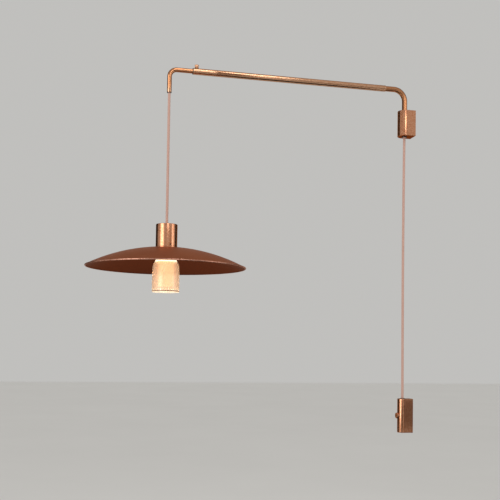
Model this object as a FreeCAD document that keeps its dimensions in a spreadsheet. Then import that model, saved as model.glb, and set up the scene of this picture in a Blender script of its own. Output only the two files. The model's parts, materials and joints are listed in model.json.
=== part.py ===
import FreeCAD, Part
import math
import os
import Sketcher

# A telescopic swing-arm wall lamp: a pendant shade on a bent tube arm.
#
# Row frame, in millimetres: +Z up, the wall is the plane Y = 0 and the lamp stands out along -Y.
# The origin is the centre of the wall plate's back, behind the swivel's middle.

Vector = FreeCAD.Vector
doc = FreeCAD.newDocument("swing_arm_lamp")
sheet = doc.addObject("Spreadsheet::Sheet", "Sizes")
nodes = []


class Size:
    """A length with its number now and the formula on the sheet that it comes from."""

    def __init__(self, formula, number):
        self.formula = formula
        self.number = number

    def __float__(self):
        return float(self.number)

    def __neg__(self):
        return Size("(-%s)" % self.formula, -self.number)

    def __add__(self, other):
        return joined(self, "+", other, float(self) + float(other))

    def __radd__(self, other):
        return joined(other, "+", self, float(other) + float(self))

    def __sub__(self, other):
        return joined(self, "-", other, float(self) - float(other))

    def __rsub__(self, other):
        return joined(other, "-", self, float(other) - float(self))

    def __mul__(self, other):
        return joined(self, "*", other, float(self) * float(other))

    def __rmul__(self, other):
        return joined(other, "*", self, float(other) * float(self))

    def __truediv__(self, other):
        return joined(self, "/", other, float(self) / float(other))


def text_of(value):
    return value.formula if isinstance(value, Size) else repr(float(value))


def joined(left, sign, right, number):
    return Size("(%s %s %s)" % (text_of(left), sign, text_of(right)), number)


def root(value):
    return Size("sqrt(%s)" % text_of(value), math.sqrt(float(value)))


def size(name, number, note):
    """A driving size: one row of the sheet, with its name, number and note."""
    size.row += 1
    sheet.set("A%d" % size.row, name)
    sheet.set("B%d" % size.row, str(number))
    sheet.set("C%d" % size.row, note)
    sheet.setAlias("B%d" % size.row, name)
    return Size("Sizes." + name, number)


size.row = 0

# Clearances
fit_gap = size("fit_gap", 0.3, "round a plate, an insert or a cover in its seat")
running_gap = size("running_gap", 0.08, "on the radius of a shaft or slide")
screw_gap = size("screw_gap", 0.06, "on the radius of a screw in its hole")
face_gap = size("face_gap", 0.1, "between flat faces that turn on each other")
cord_gap = size("cord_gap", 0.3, "on the radius of the cord in its bushes")

# Wall bracket
standoff = size("standoff", 21.5, "wall to the swivel's axis")
bracket_radius = size("bracket_radius", 16, "round front of the bracket")
bracket_height = size("bracket_height", 60, "bracket, top to bottom")
edge_bevel = size("edge_bevel", 0.8, "bevel of both wall housings, the cap and the cord grip")
bracket_wall = size("bracket_wall", 4, "bracket wall round its back cavity")
bracket_cavity = size("bracket_cavity", 9, "depth of the bracket's back cavity")
plate_thick = size("plate_thick", 2.5, "sheet of both wall plates and their tabs")
plate_corner = size("plate_corner", 2, "corner radius of both wall plates")
plate_screws = size("plate_screws", 32, "bracket plate, wall screw to wall screw")
plate_screw_hole = size("plate_screw_hole", 4.5, "wall screw holes of both plates")
tab_width = size("tab_width", 12, "tabs that carry the bracket housing")
tab_reach = size("tab_reach", 5.5, "how far those tabs stand off their plate")
set_screw = size("set_screw", 3, "set screws, across the thread")
set_screw_length = size("set_screw_length", 8, "set screws of both housings")
swivel_bore = size("swivel_bore", 16, "bore for the swivel's bushes")
swivel_floor = size("swivel_floor", 6, "bracket metal left under that bore")
swivel_screw = size("swivel_screw", 4, "retaining screw of the swivel")
swivel_point = size("swivel_point", 3, "point of the retaining screw, across")
swivel_groove = size("swivel_groove", 0.4, "depth of the tube's retaining groove")
bush_length = size("bush_length", 12, "each swivel bush")
washer_thick = size("washer_thick", 1.5, "thrust washer under the tube")
cord_size = size("cord_size", 6, "textile cord, across")
gland_hole = size("gland_hole", 9, "holes for the cord glands")
gland_flange = size("gland_flange", 12, "flange of a cord gland, across")
gland_lip = size("gland_lip", 1, "flange of a cord gland, thick")

# Arm
arm_height = size("arm_height", 80.5, "origin up to the arm's centre line")
wall_tube_size = size("wall_tube_size", 12, "tube in the bracket, across")
tip_tube_size = size("tip_tube_size", 10, "sliding tube, across")
tube_wall = size("tube_wall", 1, "wall of both bent tubes")
wall_bend = size("wall_bend", 27, "bend over the bracket, at the centre line")
tip_bend = size("tip_bend", 16, "bend over the pendant, at the centre line")
sleeve_size = size("sleeve_size", 14, "sleeve, across")
sleeve_start = size("sleeve_start", 49, "swivel axis to the sleeve's wall end")
sleeve_length = size("sleeve_length", 454, "sleeve, end to end")
tube_lap = size("tube_lap", 60, "wall tube inside the sleeve")
tip_stub = size("tip_stub", 52, "sleeve's far end to the pendant's axis, pushed in")
tip_leg = size("tip_leg", 51.5, "arm's centre line down to the tip tube's end")
guide_length = size("guide_length", 30, "guide bush inside the sleeve")
guide_lip = size("guide_lip", 1.2, "guide bush outside the sleeve")
stop_length = size("stop_length", 12, "stop ring on the sliding tube")
cord_joint = size("cord_joint", 222, "pendant's axis back to where the inner cord is split")
lock_screw_size = size("lock_screw_size", 4, "lock screw, across the thread")
lock_boss_size = size("lock_boss_size", 8, "boss of the lock screw, across")
lock_boss_height = size("lock_boss_height", 2, "boss, from the sleeve's crown up")
lock_head_size = size("lock_head_size", 9, "lock screw's knurled head, across")
lock_head_height = size("lock_head_height", 5, "lock screw's knurled head, high")
lock_head_bevel = size("lock_head_bevel", 0.4, "bevel round the lock screw's head")
lock_head_gap = size("lock_head_gap", 0.8, "boss to head when the screw is tight")

# Pendant
hang = size("hang", 292.5, "tip tube's end down to the cap's top")
cap_size = size("cap_size", 47, "cap, across")
cap_height = size("cap_height", 51.5, "cap, top to bottom")
cap_wall = size("cap_wall", 1.5, "cap's side wall")
cap_roof = size("cap_roof", 3, "cap's roof")
grip_head = size("grip_head", 10, "cord grip's head, across")
grip_rise = size("grip_rise", 3, "cord grip above the cap")
grip_shank = size("grip_shank", 8.4, "cord grip's shank, across")
grip_nut_size = size("grip_nut_size", 13, "cord grip's nut, across the flats")
grip_nut_height = size("grip_nut_height", 3, "cord grip's nut, high")
shade_size = size("shade_size", 350, "shade, across the rim")
shade_rise = size("shade_rise", 44, "rim up to where the cap stands")
shade_sheet = size("shade_sheet", 1.5, "shade's spun sheet")
shade_hem = size("shade_hem", 2.8, "hem turned round the rim, wide and high")
shade_hole = size("shade_hole", 30, "hole in the middle of the shade")
sink_height = size("sink_height", 28, "heat sink inside the cap")
sink_slot = size("sink_slot", 2.4, "slots between the heat sink's fins")
sink_core = size("sink_core", 24, "solid core of the heat sink, across")
ring_size = size("ring_size", 44, "ring nut under the shade, across")
ring_height = size("ring_height", 4, "ring nut under the shade, high")
glass_size = size("glass_size", 60, "glass at its foot, across")
glass_mouth = size("glass_mouth", 46, "neck of the glass, across")
glass_neck = size("glass_neck", 10, "straight neck of the glass, high")
glass_brow_size = size("glass_brow_size", 57, "glass where its steep shoulder ends, across")
glass_brow = size("glass_brow", 9, "steep shoulder under the neck, high")
glass_height = size("glass_height", 79, "glass, top to foot")
glass_drop = size("glass_drop", 53, "glass below the shade's rim")
glass_shoulder = size("glass_shoulder", 23, "height over which the glass then widens to its full size")
glass_bevel = size("glass_bevel", 1.5, "ground edge round the glass's foot")
glass_wall = size("glass_wall", 3, "glass wall")
glass_floor = size("glass_floor", 5, "glass floor")
holder_skirt = size("holder_skirt", 10, "glass holder's skirt inside the glass")
holder_wall = size("holder_wall", 1.5, "glass holder's sheet")
gasket_height = size("gasket_height", 6, "rubber band that grips the glass")
diffuser_wall = size("diffuser_wall", 1.5, "opal tube in the glass, wall")
diffuser_length = size("diffuser_length", 66, "opal tube in the glass, high")
led_size = size("led_size", 24, "light module, across")
led_thick = size("led_thick", 2, "light module, thick")

# Switch box on the wall below
box_drop = size("box_drop", 682, "origin down to the knob's axis, the box's middle")
box_radius = size("box_radius", 11.5, "round front of the switch box")
box_height = size("box_height", 78, "switch box, top to bottom")
box_wall = size("box_wall", 3, "switch box wall round its cavity")
box_cavity = size("box_cavity", 25, "depth of the switch box's cavity")
box_screws = size("box_screws", 58, "switch plate, wall screw to wall screw")
mains_hole = size("mains_hole", 8, "cable entry in the switch plate, across")
mains_drop = size("mains_drop", 17, "knob's axis down to the cable entry")
knob_size = size("knob_size", 13, "dimmer knob, across")
knob_proud = size("knob_proud", 4, "dimmer knob in front of the box")
knob_seat = size("knob_seat", 2.5, "depth of the knob's round seat in the front")
knob_wall = size("knob_wall", 1.1, "dimmer knob's skirt")
flute_depth = size("flute_depth", 0.5, "notches round the knob and the lock screw's head")
spindle_size = size("spindle_size", 4, "dimmer spindle, across")
thread_size = size("thread_size", 7, "dimmer's threaded neck, across")
dimmer_width = size("dimmer_width", 15, "dimmer module, sideways")
dimmer_depth = size("dimmer_depth", 13, "dimmer module, wall to front")
dimmer_height = size("dimmer_height", 26, "dimmer module, high")
dimmer_nut_size = size("dimmer_nut_size", 9, "dimmer's nut, across the flats")
dimmer_nut_height = size("dimmer_nut_height", 1.8, "dimmer's nut, thick")
clamp_height = size("clamp_height", 7, "cord clamp, high")
terminal_height = size("terminal_height", 12, "terminal block, high")
doc.recompute()

# Counts, and one angle
CAP_SCREWS = 3
SINK_SLOTS = 12
KNOB_FLUTES = 18
LOCK_FLUTES = 20
cap_screw_turn = 14.0  # degrees from +X to the first of the cap's screws
CAP_TURN = FreeCAD.Rotation(Vector(0, 0, 1), cap_screw_turn)
LEVEL = FreeCAD.Rotation(Vector(1, 0, 0), 90)  # lays a piece's own +Z along -Y, away from the wall
SAME = 0.001  # two places nearer than this are one

# Places that follow from the sizes
bracket_top = bracket_height / 2
bracket_foot = -bracket_top
tube_foot = bracket_foot + swivel_floor + washer_thick + face_gap
cord_top = bracket_foot - gland_lip
tip_end = arm_height - tip_leg
sleeve_end = sleeve_start + sleeve_length
tip_y = -(standoff + sleeve_end + tip_stub)
sleeve_bore = wall_tube_size + 2 * running_gap
lock_place = sleeve_end - lock_boss_size
cap_top = tip_end - hang
cap_foot = cap_top - cap_height
rim_foot = cap_foot - shade_rise
glass_foot = rim_foot - glass_drop
glass_top = glass_foot + glass_height
box_top = box_height / 2
box_front = standoff + box_radius
set_screw_y = plate_thick + tab_reach / 2
cap_screw_height = 2 * set_screw


def tie(thing, prop, value):
    """Binds a property to the sheet, or sets it where the value is a plain number."""
    if isinstance(value, Size):
        thing.setExpression(prop, value.formula)


def new_body(label, place=(0, 0, 0), turn=None):
    """An empty body at its place; turn is a rotation, such as one that lays its axis along -Y."""
    body = doc.addObject("PartDesign::Body", label)
    body.Label = label
    body.Placement = FreeCAD.Placement(Vector(*[float(v) for v in place]), turn or FreeCAD.Rotation())
    for axis, value in zip("xyz", place):
        tie(body, "Placement.Base." + axis, value)
    nodes.append(body)
    return body


def new_sketch(body, plane="XY_Plane", lift=0):
    """A sketch on one of the body's own planes, or lifted off it along the plane's normal."""
    sketch = body.newObject("Sketcher::SketchObject", body.Name + "_sketch")
    support = [f for f in body.Origin.OriginFeatures if f.Role == plane][0]
    sketch.AttachmentSupport = [(support, "")]
    sketch.MapMode = "FlatFace"
    sketch.AttachmentOffset = FreeCAD.Placement(Vector(0, 0, float(lift)), FreeCAD.Rotation())
    tie(sketch, "AttachmentOffset.Base.z", lift)
    return sketch


def dimension(sketch, *what):
    """Adds a dimension whose last value is a size and ties it to the sheet."""
    value = what[-1]
    at = sketch.addConstraint(Sketcher.Constraint(*what[:-1], float(value)))
    tie(sketch, "Constraints[%d]" % at, value)


def pin_point(sketch, edge, end, place):
    """Holds one end (or centre, 3) of an edge at its place."""
    dimension(sketch, "DistanceX", -1, 1, edge, end, place[0])
    dimension(sketch, "DistanceY", -1, 1, edge, end, place[1])


def draw_outline(sketch, corners):
    """A closed outline of straight edges through the corners."""
    points = [Vector(float(a), float(b), 0) for a, b in corners]
    first = sketch.GeometryCount
    count = len(corners)
    for i in range(count):
        sketch.addGeometry(Part.LineSegment(points[i], points[(i + 1) % count]), False)
    for i in range(count):
        sketch.addConstraint(Sketcher.Constraint("Coincident", first + i, 2, first + (i + 1) % count, 1))
    for i, corner in enumerate(corners):
        pin_point(sketch, first + i, 1, corner)


def draw_circle(sketch, across, centre=(0, 0)):
    middle = Vector(float(centre[0]), float(centre[1]), 0)
    edge = sketch.addGeometry(Part.Circle(middle, Vector(0, 0, 1), float(across) / 2), False)
    dimension(sketch, "Diameter", edge, across)
    pin_point(sketch, edge, 3, centre)


def draw_box(sketch, wide, high, centre=(0, 0)):
    x, y = centre
    half = (wide / 2, high / 2)
    draw_outline(sketch, [(x - half[0], y - half[1]), (x + half[0], y - half[1]),
                          (x + half[0], y + half[1]), (x - half[0], y + half[1])])


def draw_notch(sketch, rim, depth):
    """A three-cornered notch cut into a rim from outside, as wide as twice its depth."""
    draw_outline(sketch, [(rim - depth, 0), (rim + depth, -2 * depth), (rim + depth, 2 * depth)])


def draw_hexagon(sketch, flats):
    """A hexagon across its flats, round the origin."""
    corner = flats / math.sqrt(3)
    half = corner / 2
    side = flats / 2
    draw_outline(sketch, [(corner, 0), (half, side), (-half, side),
                          (-corner, 0), (-half, -side), (half, -side)])


def draw_front(sketch, radius):
    """The plan of a wall housing: flat back and sides, and a half-round front about the cord's axis."""
    middle = Vector(0, -float(standoff), 0)
    arc = Part.ArcOfCircle(Part.Circle(middle, Vector(0, 0, 1), float(radius)), math.pi, 2 * math.pi)
    sketch.addGeometry(arc, False)
    left, right = Vector(-float(radius), -float(standoff), 0), Vector(float(radius), -float(standoff), 0)
    back_left, back_right = Vector(left.x, 0, 0), Vector(right.x, 0, 0)
    sketch.addGeometry(Part.LineSegment(right, back_right), False)
    sketch.addGeometry(Part.LineSegment(back_right, back_left), False)
    sketch.addGeometry(Part.LineSegment(back_left, left), False)
    for a, a_end, b, b_end in ((0, 2, 1, 1), (1, 2, 2, 1), (2, 2, 3, 1), (3, 2, 0, 1)):
        sketch.addConstraint(Sketcher.Constraint("Coincident", a, a_end, b, b_end))
    pin_point(sketch, 0, 3, (0, -standoff))
    dimension(sketch, "Radius", 0, radius)
    dimension(sketch, "DistanceY", -1, 1, 0, 1, -standoff)
    dimension(sketch, "DistanceY", -1, 1, 0, 2, -standoff)
    pin_point(sketch, 2, 1, (radius, 0))
    pin_point(sketch, 2, 2, (-radius, 0))


def add(body, kind, sketch, **settings):
    """One feature of a body; sizes among the settings are tied to the sheet."""
    feature = body.newObject("PartDesign::" + kind, body.Name + "_" + kind.lower())
    feature.Profile = sketch
    for prop, value in settings.items():
        if isinstance(value, Size):
            setattr(feature, prop, float(value))
            tie(feature, prop, value)
        else:
            setattr(feature, prop, value)
    return feature


def pad(body, sketch, length, **settings):
    return add(body, "Pad", sketch, Length=length, **settings)


def pocket(body, sketch, depth, **settings):
    """A pocket that has to take metal away."""
    doc.recompute()
    before = body.Shape.Volume
    feature = add(body, "Pocket", sketch, Length=depth, **settings)
    doc.recompute()
    if body.Shape.Volume >= before:
        raise RuntimeError(body.Label + ": a pocket cuts nothing")
    return feature


def turn_sketch(body, sketch):
    """Turns a profile of (radius, height) round the body's own upright axis."""
    return add(body, "Revolution", sketch, ReferenceAxis=(sketch, ["V_Axis"]), Angle=360.0)


def turned(label, corners, place=(0, 0, 0), turn=None):
    """A lathe-turned piece through (radius, height) corners."""
    body = new_body(label, place, turn)
    profile = new_sketch(body, "XZ_Plane")
    draw_outline(profile, corners)
    turn_sketch(body, profile)
    return body


def tube_corners(outside, inside, low, high):
    """The corners of a plain ring or tube, from its two diameters and its ends."""
    return [(inside / 2, low), (outside / 2, low), (outside / 2, high), (inside / 2, high)]


def rod_corners(across, low, high):
    return [(0, low), (across / 2, low), (across / 2, high), (0, high)]


def soften(body, kind, prop, width, wanted):
    """A fillet or a chamfer on the edges that a test picks, its width tied to the sheet."""
    doc.recompute()
    base = body.Tip
    names = ["Edge%d" % (i + 1) for i, edge in enumerate(base.Shape.Edges) if wanted(edge)]
    if not names:
        raise RuntimeError(body.Label + ": no edge to soften")
    feature = body.newObject("PartDesign::" + kind, body.Name + "_edges")
    feature.Base = (base, names)
    setattr(feature, prop, float(width))
    tie(feature, prop, width)
    return feature


def round_edges(body, radius, wanted):
    """Rounds the edges of the body that a test picks, by their place."""
    return soften(body, "Fillet", "Radius", radius, wanted)


def bevel_edges(body, width, wanted):
    """Bevels the edges of the body that a test picks, by their place."""
    return soften(body, "Chamfer", "Size", width, wanted)


def repeat(body, feature, count):
    """The feature again, evenly round the body's own upright axis."""
    pattern = body.newObject("PartDesign::PolarPattern", body.Name + "_pattern")
    pattern.Originals = [feature]
    pattern.Axis = ([f for f in body.Origin.OriginFeatures if f.Role == "Z_Axis"][0], [""])
    pattern.Angle = 360.0
    pattern.Occurrences = count
    body.Tip = pattern
    return pattern


def draw_bend(sketch, start, corner, end, radius):
    """A path up to a corner and away level, with an arc of the radius in the corner."""
    side = 1 if float(end[0]) > float(corner[0]) else -1
    foot = (corner[0], corner[1] - radius)
    head = (corner[0] + side * radius, corner[1])
    points = [Vector(float(a), float(b), 0) for a, b in (start, foot, head, end)]
    centre = Vector(points[2].x, points[1].y, 0)
    half = float(radius) * math.sqrt(0.5)
    middle = Vector(centre.x - side * half, centre.y + half, 0)
    sketch.addGeometry(Part.LineSegment(points[0], points[1]), False)
    sketch.addGeometry(Part.Arc(points[1], middle, points[2]), False)
    sketch.addGeometry(Part.LineSegment(points[2], points[3]), False)
    # the arc runs anticlockwise, so it starts at the level side of a bend to the right
    first, last = (1, 2) if side < 0 else (2, 1)
    sketch.addConstraint(Sketcher.Constraint("Coincident", 0, 2, 1, first))
    sketch.addConstraint(Sketcher.Constraint("Coincident", 1, last, 2, 1))
    pin_point(sketch, 0, 1, start)
    pin_point(sketch, 0, 2, foot)
    pin_point(sketch, 2, 1, head)
    pin_point(sketch, 2, 2, end)
    dimension(sketch, "Radius", 1, radius)


def bent(label, start, corner, end, radius, outside, inside=None):
    """A tube, or a rod where it has no bore, swept up from its foot, round a bend and away level.

    start, corner and end are (Y, Z) in the plane of the arm.
    """
    body = new_body(label)
    profile = new_sketch(body, "XY_Plane", start[1])
    draw_circle(profile, outside, (0, start[0]))
    if inside is not None:
        draw_circle(profile, inside, (0, start[0]))
    path = new_sketch(body, "YZ_Plane")
    draw_bend(path, start, corner, end, radius)
    doc.recompute()
    add(body, "AdditivePipe", profile, Spine=path)
    return body


# ---------------------------------------------------------------- wall bracket


def outer_rim(height):
    """Picks a housing's outline edges at its two ends, but not the back edges on the wall."""
    def wanted(edge):
        middle = edge.CenterOfMass
        return abs(abs(middle.z) - float(height) / 2) < SAME and middle.y < -SAME
    return wanted


def wall_housing(label, radius, height, wall, depth, place):
    """A housing with a half-round front and a cavity from the back for its wall plate."""
    body = new_body(label, place)
    plan = new_sketch(body, "XY_Plane")
    draw_front(plan, radius)
    pad(body, plan, height, Midplane=True)
    bevel_edges(body, edge_bevel, outer_rim(height))
    opening = new_sketch(body, "XZ_Plane")
    draw_box(opening, 2 * (radius - wall), height - 2 * wall)
    pocket(body, opening, depth, Reversed=True)
    return body


def bracket_housing():
    body = wall_housing("bracket_housing", bracket_radius, bracket_height, bracket_wall,
                        bracket_cavity, (0, 0, 0))
    bore = new_sketch(body, "XY_Plane", bracket_top)
    draw_circle(bore, swivel_bore, (0, -standoff))
    pocket(body, bore, bracket_height - swivel_floor)
    way = new_sketch(body, "XY_Plane", bracket_top)
    draw_circle(way, gland_hole, (0, -standoff))
    pocket(body, way, bracket_height)
    tapped = new_sketch(body, "XY_Plane", bracket_foot)
    draw_circle(tapped, set_screw + 2 * screw_gap, (0, -set_screw_y))
    pocket(body, tapped, bracket_wall, Reversed=True)
    retainer = new_sketch(body, "XZ_Plane")
    draw_circle(retainer, swivel_screw + 2 * screw_gap)
    pocket(body, retainer, standoff, Reversed=True)


def plate_corners(wide, high):
    """Picks the four short edges at a plate's corners."""
    def wanted(edge):
        middle = edge.CenterOfMass
        return abs(abs(middle.x) - float(wide) / 2) < SAME and abs(abs(middle.z) - float(high) / 2) < SAME
    return wanted


def round_edge_at(height, across):
    """Picks the circle of a diameter at a height of a turned piece."""
    def wanted(edge):
        ring = math.pi * float(across)
        return abs(edge.CenterOfMass.z - float(height)) < SAME and abs(edge.Length - ring) < SAME
    return wanted


def wall_plate_at(label, wide, high, screws, place):
    """A plate with two wall screw holes, and a tab bent forward at its top and foot."""
    body = new_body(label, place)
    face = new_sketch(body, "XZ_Plane")
    draw_box(face, wide, high)
    for side in (-1, 1):
        draw_circle(face, plate_screw_hole, (0, side * screws / 2))
    pad(body, face, plate_thick)
    round_edges(body, plate_corner, plate_corners(wide, high))
    for side in (-1, 1):
        tab = new_sketch(body, "XZ_Plane", plate_thick)
        draw_box(tab, tab_width, plate_thick, (0, side * (high - plate_thick) / 2))
        pad(body, tab, tab_reach)
    tapped = new_sketch(body, "XY_Plane", -high / 2)
    draw_circle(tapped, set_screw + 2 * screw_gap, (0, -set_screw_y))
    pocket(body, tapped, plate_thick, Reversed=True)
    return body


def bracket_plate():
    wall_plate_at("wall_plate", 2 * (bracket_radius - bracket_wall - fit_gap),
                  bracket_height - 2 * (bracket_wall + fit_gap), plate_screws, (0, 0, 0))


def socket_screw(label, thread, length, place, turn=None, point=None):
    """A set screw with a hexagon socket in its foot; a point is a (diameter, length) pin at its top."""
    corners = rod_corners(thread, 0, length)
    if point:
        corners = [(0, 0), (thread / 2, 0), (thread / 2, length - point[1]),
                   (point[0] / 2, length - point[1]), (point[0] / 2, length), (0, length)]
    body = turned(label, corners, place, turn)
    socket = new_sketch(body, "XY_Plane")
    draw_hexagon(socket, thread / 2)
    pocket(body, socket, thread / 2, Reversed=True)
    return body


def bracket_screws():
    socket_screw("bracket_set_screw", set_screw, set_screw_length, (0, -set_screw_y, bracket_foot))
    length = standoff - bracket_cavity - wall_tube_size / 2 + swivel_groove - fit_gap
    socket_screw("swivel_screw", swivel_screw, length, (0, -bracket_cavity, 0), LEVEL,
                 (swivel_point, swivel_groove + fit_gap))


def swivel_bushes():
    outside = swivel_bore - 2 * screw_gap
    inside = wall_tube_size + 2 * running_gap
    washer_top = bracket_foot + swivel_floor + washer_thick
    turned("swivel_bush_top", tube_corners(outside, inside, bracket_top - bush_length, bracket_top),
           (0, -standoff, 0))
    turned("swivel_bush_bottom", tube_corners(outside, inside, washer_top, washer_top + bush_length),
           (0, -standoff, 0))
    turned("thrust_washer", tube_corners(outside, gland_hole, bracket_foot + swivel_floor, washer_top),
           (0, -standoff, 0))


def cord_gland(label, depth, place, down):
    """A bush round the cord with a flange outside; down is 1 where the flange is below the hole."""
    bore = cord_size / 2 + cord_gap
    shank = gland_hole / 2 - screw_gap
    corners = [(bore, -down * gland_lip), (gland_flange / 2, -down * gland_lip), (gland_flange / 2, 0),
               (shank, 0), (shank, down * depth), (bore, down * depth)]
    turned(label, corners, place)


# ---------------------------------------------------------------- switch box


def switch_housing():
    body = wall_housing("switch_housing", box_radius, box_height, box_wall, box_cavity, (0, 0, -box_drop))
    entry = new_sketch(body, "XY_Plane", box_top)
    draw_circle(entry, gland_hole, (0, -standoff))
    pocket(body, entry, box_wall)
    tapped = new_sketch(body, "XY_Plane", -box_top)
    draw_circle(tapped, set_screw + 2 * screw_gap, (0, -set_screw_y))
    pocket(body, tapped, box_wall, Reversed=True)
    seat = new_sketch(body, "XZ_Plane", box_front)
    draw_circle(seat, knob_size + 2 * fit_gap)
    pocket(body, seat, knob_seat)
    neck = new_sketch(body, "XZ_Plane", box_front)
    draw_circle(neck, thread_size + 2 * screw_gap)
    pocket(body, neck, box_front - box_cavity)


def switch_plate():
    body = wall_plate_at("switch_plate", 2 * (box_radius - box_wall - fit_gap),
                         box_height - 2 * (box_wall + fit_gap), box_screws, (0, 0, -box_drop))
    entry = new_sketch(body, "XZ_Plane", plate_thick)
    draw_circle(entry, mains_hole, (0, -mains_drop))
    pocket(body, entry, plate_thick)


def dimmer():
    """The dimmer module against the front wall, its threaded neck through it, and the neck's nut."""
    neck = box_front - knob_seat - box_cavity + dimmer_nut_height
    module = new_body("dimmer_module", (0, -box_cavity, -box_drop))
    block = new_sketch(module, "XZ_Plane")
    draw_box(block, dimmer_width, dimmer_height)
    pad(module, block, dimmer_depth, Reversed=True)
    stem = new_sketch(module, "XZ_Plane")
    draw_circle(stem, thread_size)
    pad(module, stem, neck)
    bore = new_sketch(module, "XZ_Plane", neck)
    draw_circle(bore, spindle_size + 2 * running_gap)
    pocket(module, bore, neck + dimmer_depth)
    nut = new_body("dimmer_nut", (0, -(box_front - knob_seat), -box_drop), LEVEL)
    plan = new_sketch(nut)
    draw_hexagon(plan, dimmer_nut_size)
    draw_circle(plan, thread_size + 2 * screw_gap)
    pad(nut, plan, dimmer_nut_height)


def dimmer_knob():
    """A fluted cup over the nut, with the spindle in its middle."""
    skirt = knob_size / 2
    rear = -knob_seat + fit_gap
    inner = skirt - knob_wall
    roof = knob_proud - knob_wall
    boss = spindle_size / 2 + knob_wall
    gap = dimmer_nut_height - knob_seat + fit_gap
    corners = [(spindle_size / 2 + screw_gap, gap), (boss, gap), (boss, roof), (inner, roof), (inner, rear),
               (skirt, rear), (skirt, knob_proud - knob_wall / 2), (skirt - knob_wall / 2, knob_proud),
               (0, knob_proud), (0, roof), (spindle_size / 2 + screw_gap, roof)]
    body = turned("dimmer_knob", corners, (0, -box_front, -box_drop), LEVEL)
    flute = new_sketch(body, "XY_Plane", knob_proud)
    draw_notch(flute, skirt, flute_depth)
    cut = pocket(body, flute, knob_proud)
    repeat(body, cut, KNOB_FLUTES)
    back = dimmer_depth - knob_wall
    turned("dimmer_spindle", rod_corners(spindle_size, -(box_front - box_cavity + back), roof),
           (0, -box_front, -box_drop), LEVEL)


def box_inside():
    """The cord's clamp and the terminal block in the switch box, and the screws that hold its housing."""
    low = dimmer_height / 2 + fit_gap
    wide = 2 * (box_radius - box_wall) - 2 * fit_gap
    clamp = new_body("cord_clamp", (0, 0, -box_drop))
    plan = new_sketch(clamp, "XY_Plane", low + cord_size / 2)
    draw_box(plan, wide, cord_size, (0, -standoff + cord_size / 2 + cord_gap))
    pad(clamp, plan, clamp_height)
    groove = new_sketch(clamp, "XY_Plane", low + cord_size / 2 + clamp_height)
    draw_circle(groove, cord_size + 2 * screw_gap, (0, -standoff))
    pocket(clamp, groove, clamp_height)
    block = new_body("terminal_block", (0, 0, -box_drop))
    face = new_sketch(block, "XZ_Plane", box_cavity)
    top = -(dimmer_height / 2 + fit_gap)
    draw_box(face, wide, terminal_height, (0, top - terminal_height / 2))
    pad(block, face, dimmer_depth, Reversed=True)
    poles = new_sketch(block, "XZ_Plane", box_cavity - dimmer_depth)
    for side in (-1, 0, 1):
        draw_circle(poles, set_screw, (side * wide / 3, top - terminal_height / 2))
    pocket(block, poles, dimmer_depth / 2, Reversed=True)
    socket_screw("switch_set_screw", set_screw, set_screw_length, (0, -set_screw_y, -box_drop - box_top))


# ---------------------------------------------------------------- arm


def wall_tube():
    body = bent("wall_tube", (-standoff, tube_foot), (-standoff, arm_height),
                (-(standoff + sleeve_start + tube_lap), arm_height), wall_bend, wall_tube_size,
                wall_tube_size - 2 * tube_wall)
    groove = new_sketch(body, "XZ_Plane", standoff)
    half = swivel_screw / 2
    floor = wall_tube_size / 2 - swivel_groove
    draw_outline(groove, [(floor, -half), (wall_tube_size, -half), (wall_tube_size, half), (floor, half)])
    doc.recompute()
    before = body.Shape.Volume
    add(body, "Groove", groove, ReferenceAxis=(groove, ["V_Axis"]), Angle=360.0)
    doc.recompute()
    if body.Shape.Volume >= before:
        raise RuntimeError("wall_tube: the groove cuts nothing")


def level_tube(label, outside, inside, near, far):
    """A ring or tube along the arm, from its near to its far end, measured from the swivel's axis."""
    return turned(label, tube_corners(outside, inside, near, far), (0, -standoff, arm_height), LEVEL)


def sleeve():
    body = level_tube("sleeve_tube", sleeve_size, sleeve_bore, sleeve_start, sleeve_end)
    # the boss of the lock screw on the sleeve's crown, with its hole down into the bore
    boss = new_sketch(body, "XZ_Plane", -(sleeve_size / 2 + lock_boss_height))
    draw_circle(boss, lock_boss_size, (0, lock_place))
    pad(body, boss, lock_boss_height + sleeve_size / 2)
    bore = new_sketch(body, "XY_Plane", sleeve_end)
    draw_circle(bore, sleeve_bore)
    pocket(body, bore, sleeve_length)
    hole = new_sketch(body, "XZ_Plane", -(sleeve_size / 2 + lock_boss_height))
    draw_circle(hole, lock_screw_size + 2 * screw_gap, (0, lock_place))
    pocket(body, hole, lock_boss_height + sleeve_size / 2, Reversed=True)


def guide_bush():
    far = sleeve_end
    bore = tip_tube_size / 2 + running_gap
    shank = sleeve_bore / 2 - screw_gap
    lip = sleeve_size / 2 - fit_gap
    corners = [(bore, far - guide_length), (shank, far - guide_length), (shank, far), (lip, far),
               (lip, far + guide_lip), (bore, far + guide_lip)]
    body = turned("guide_bush", corners, (0, -standoff, arm_height), LEVEL)
    hole = new_sketch(body, "XZ_Plane", -sleeve_size)
    draw_circle(hole, lock_screw_size + 2 * screw_gap, (0, lock_place))
    pocket(body, hole, sleeve_size, Reversed=True)


def lock_screw():
    """A thumb screw with a fluted head; its flat point stops just clear of the sliding tube."""
    foot = tip_tube_size / 2 + running_gap
    seat = sleeve_size / 2 + lock_boss_height + lock_head_gap
    half = lock_screw_size / 2
    rim = lock_head_size / 2
    top = seat + lock_head_height
    corners = [(0, foot), (half, foot), (half, seat), (rim, seat), (rim, top - lock_head_bevel),
               (rim - lock_head_bevel, top), (0, top)]
    body = turned("lock_screw", corners, (0, -(standoff + lock_place), arm_height))
    flute = new_sketch(body, "XY_Plane", top)
    draw_notch(flute, rim, flute_depth)
    cut = pocket(body, flute, lock_head_height)
    repeat(body, cut, LOCK_FLUTES)


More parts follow.
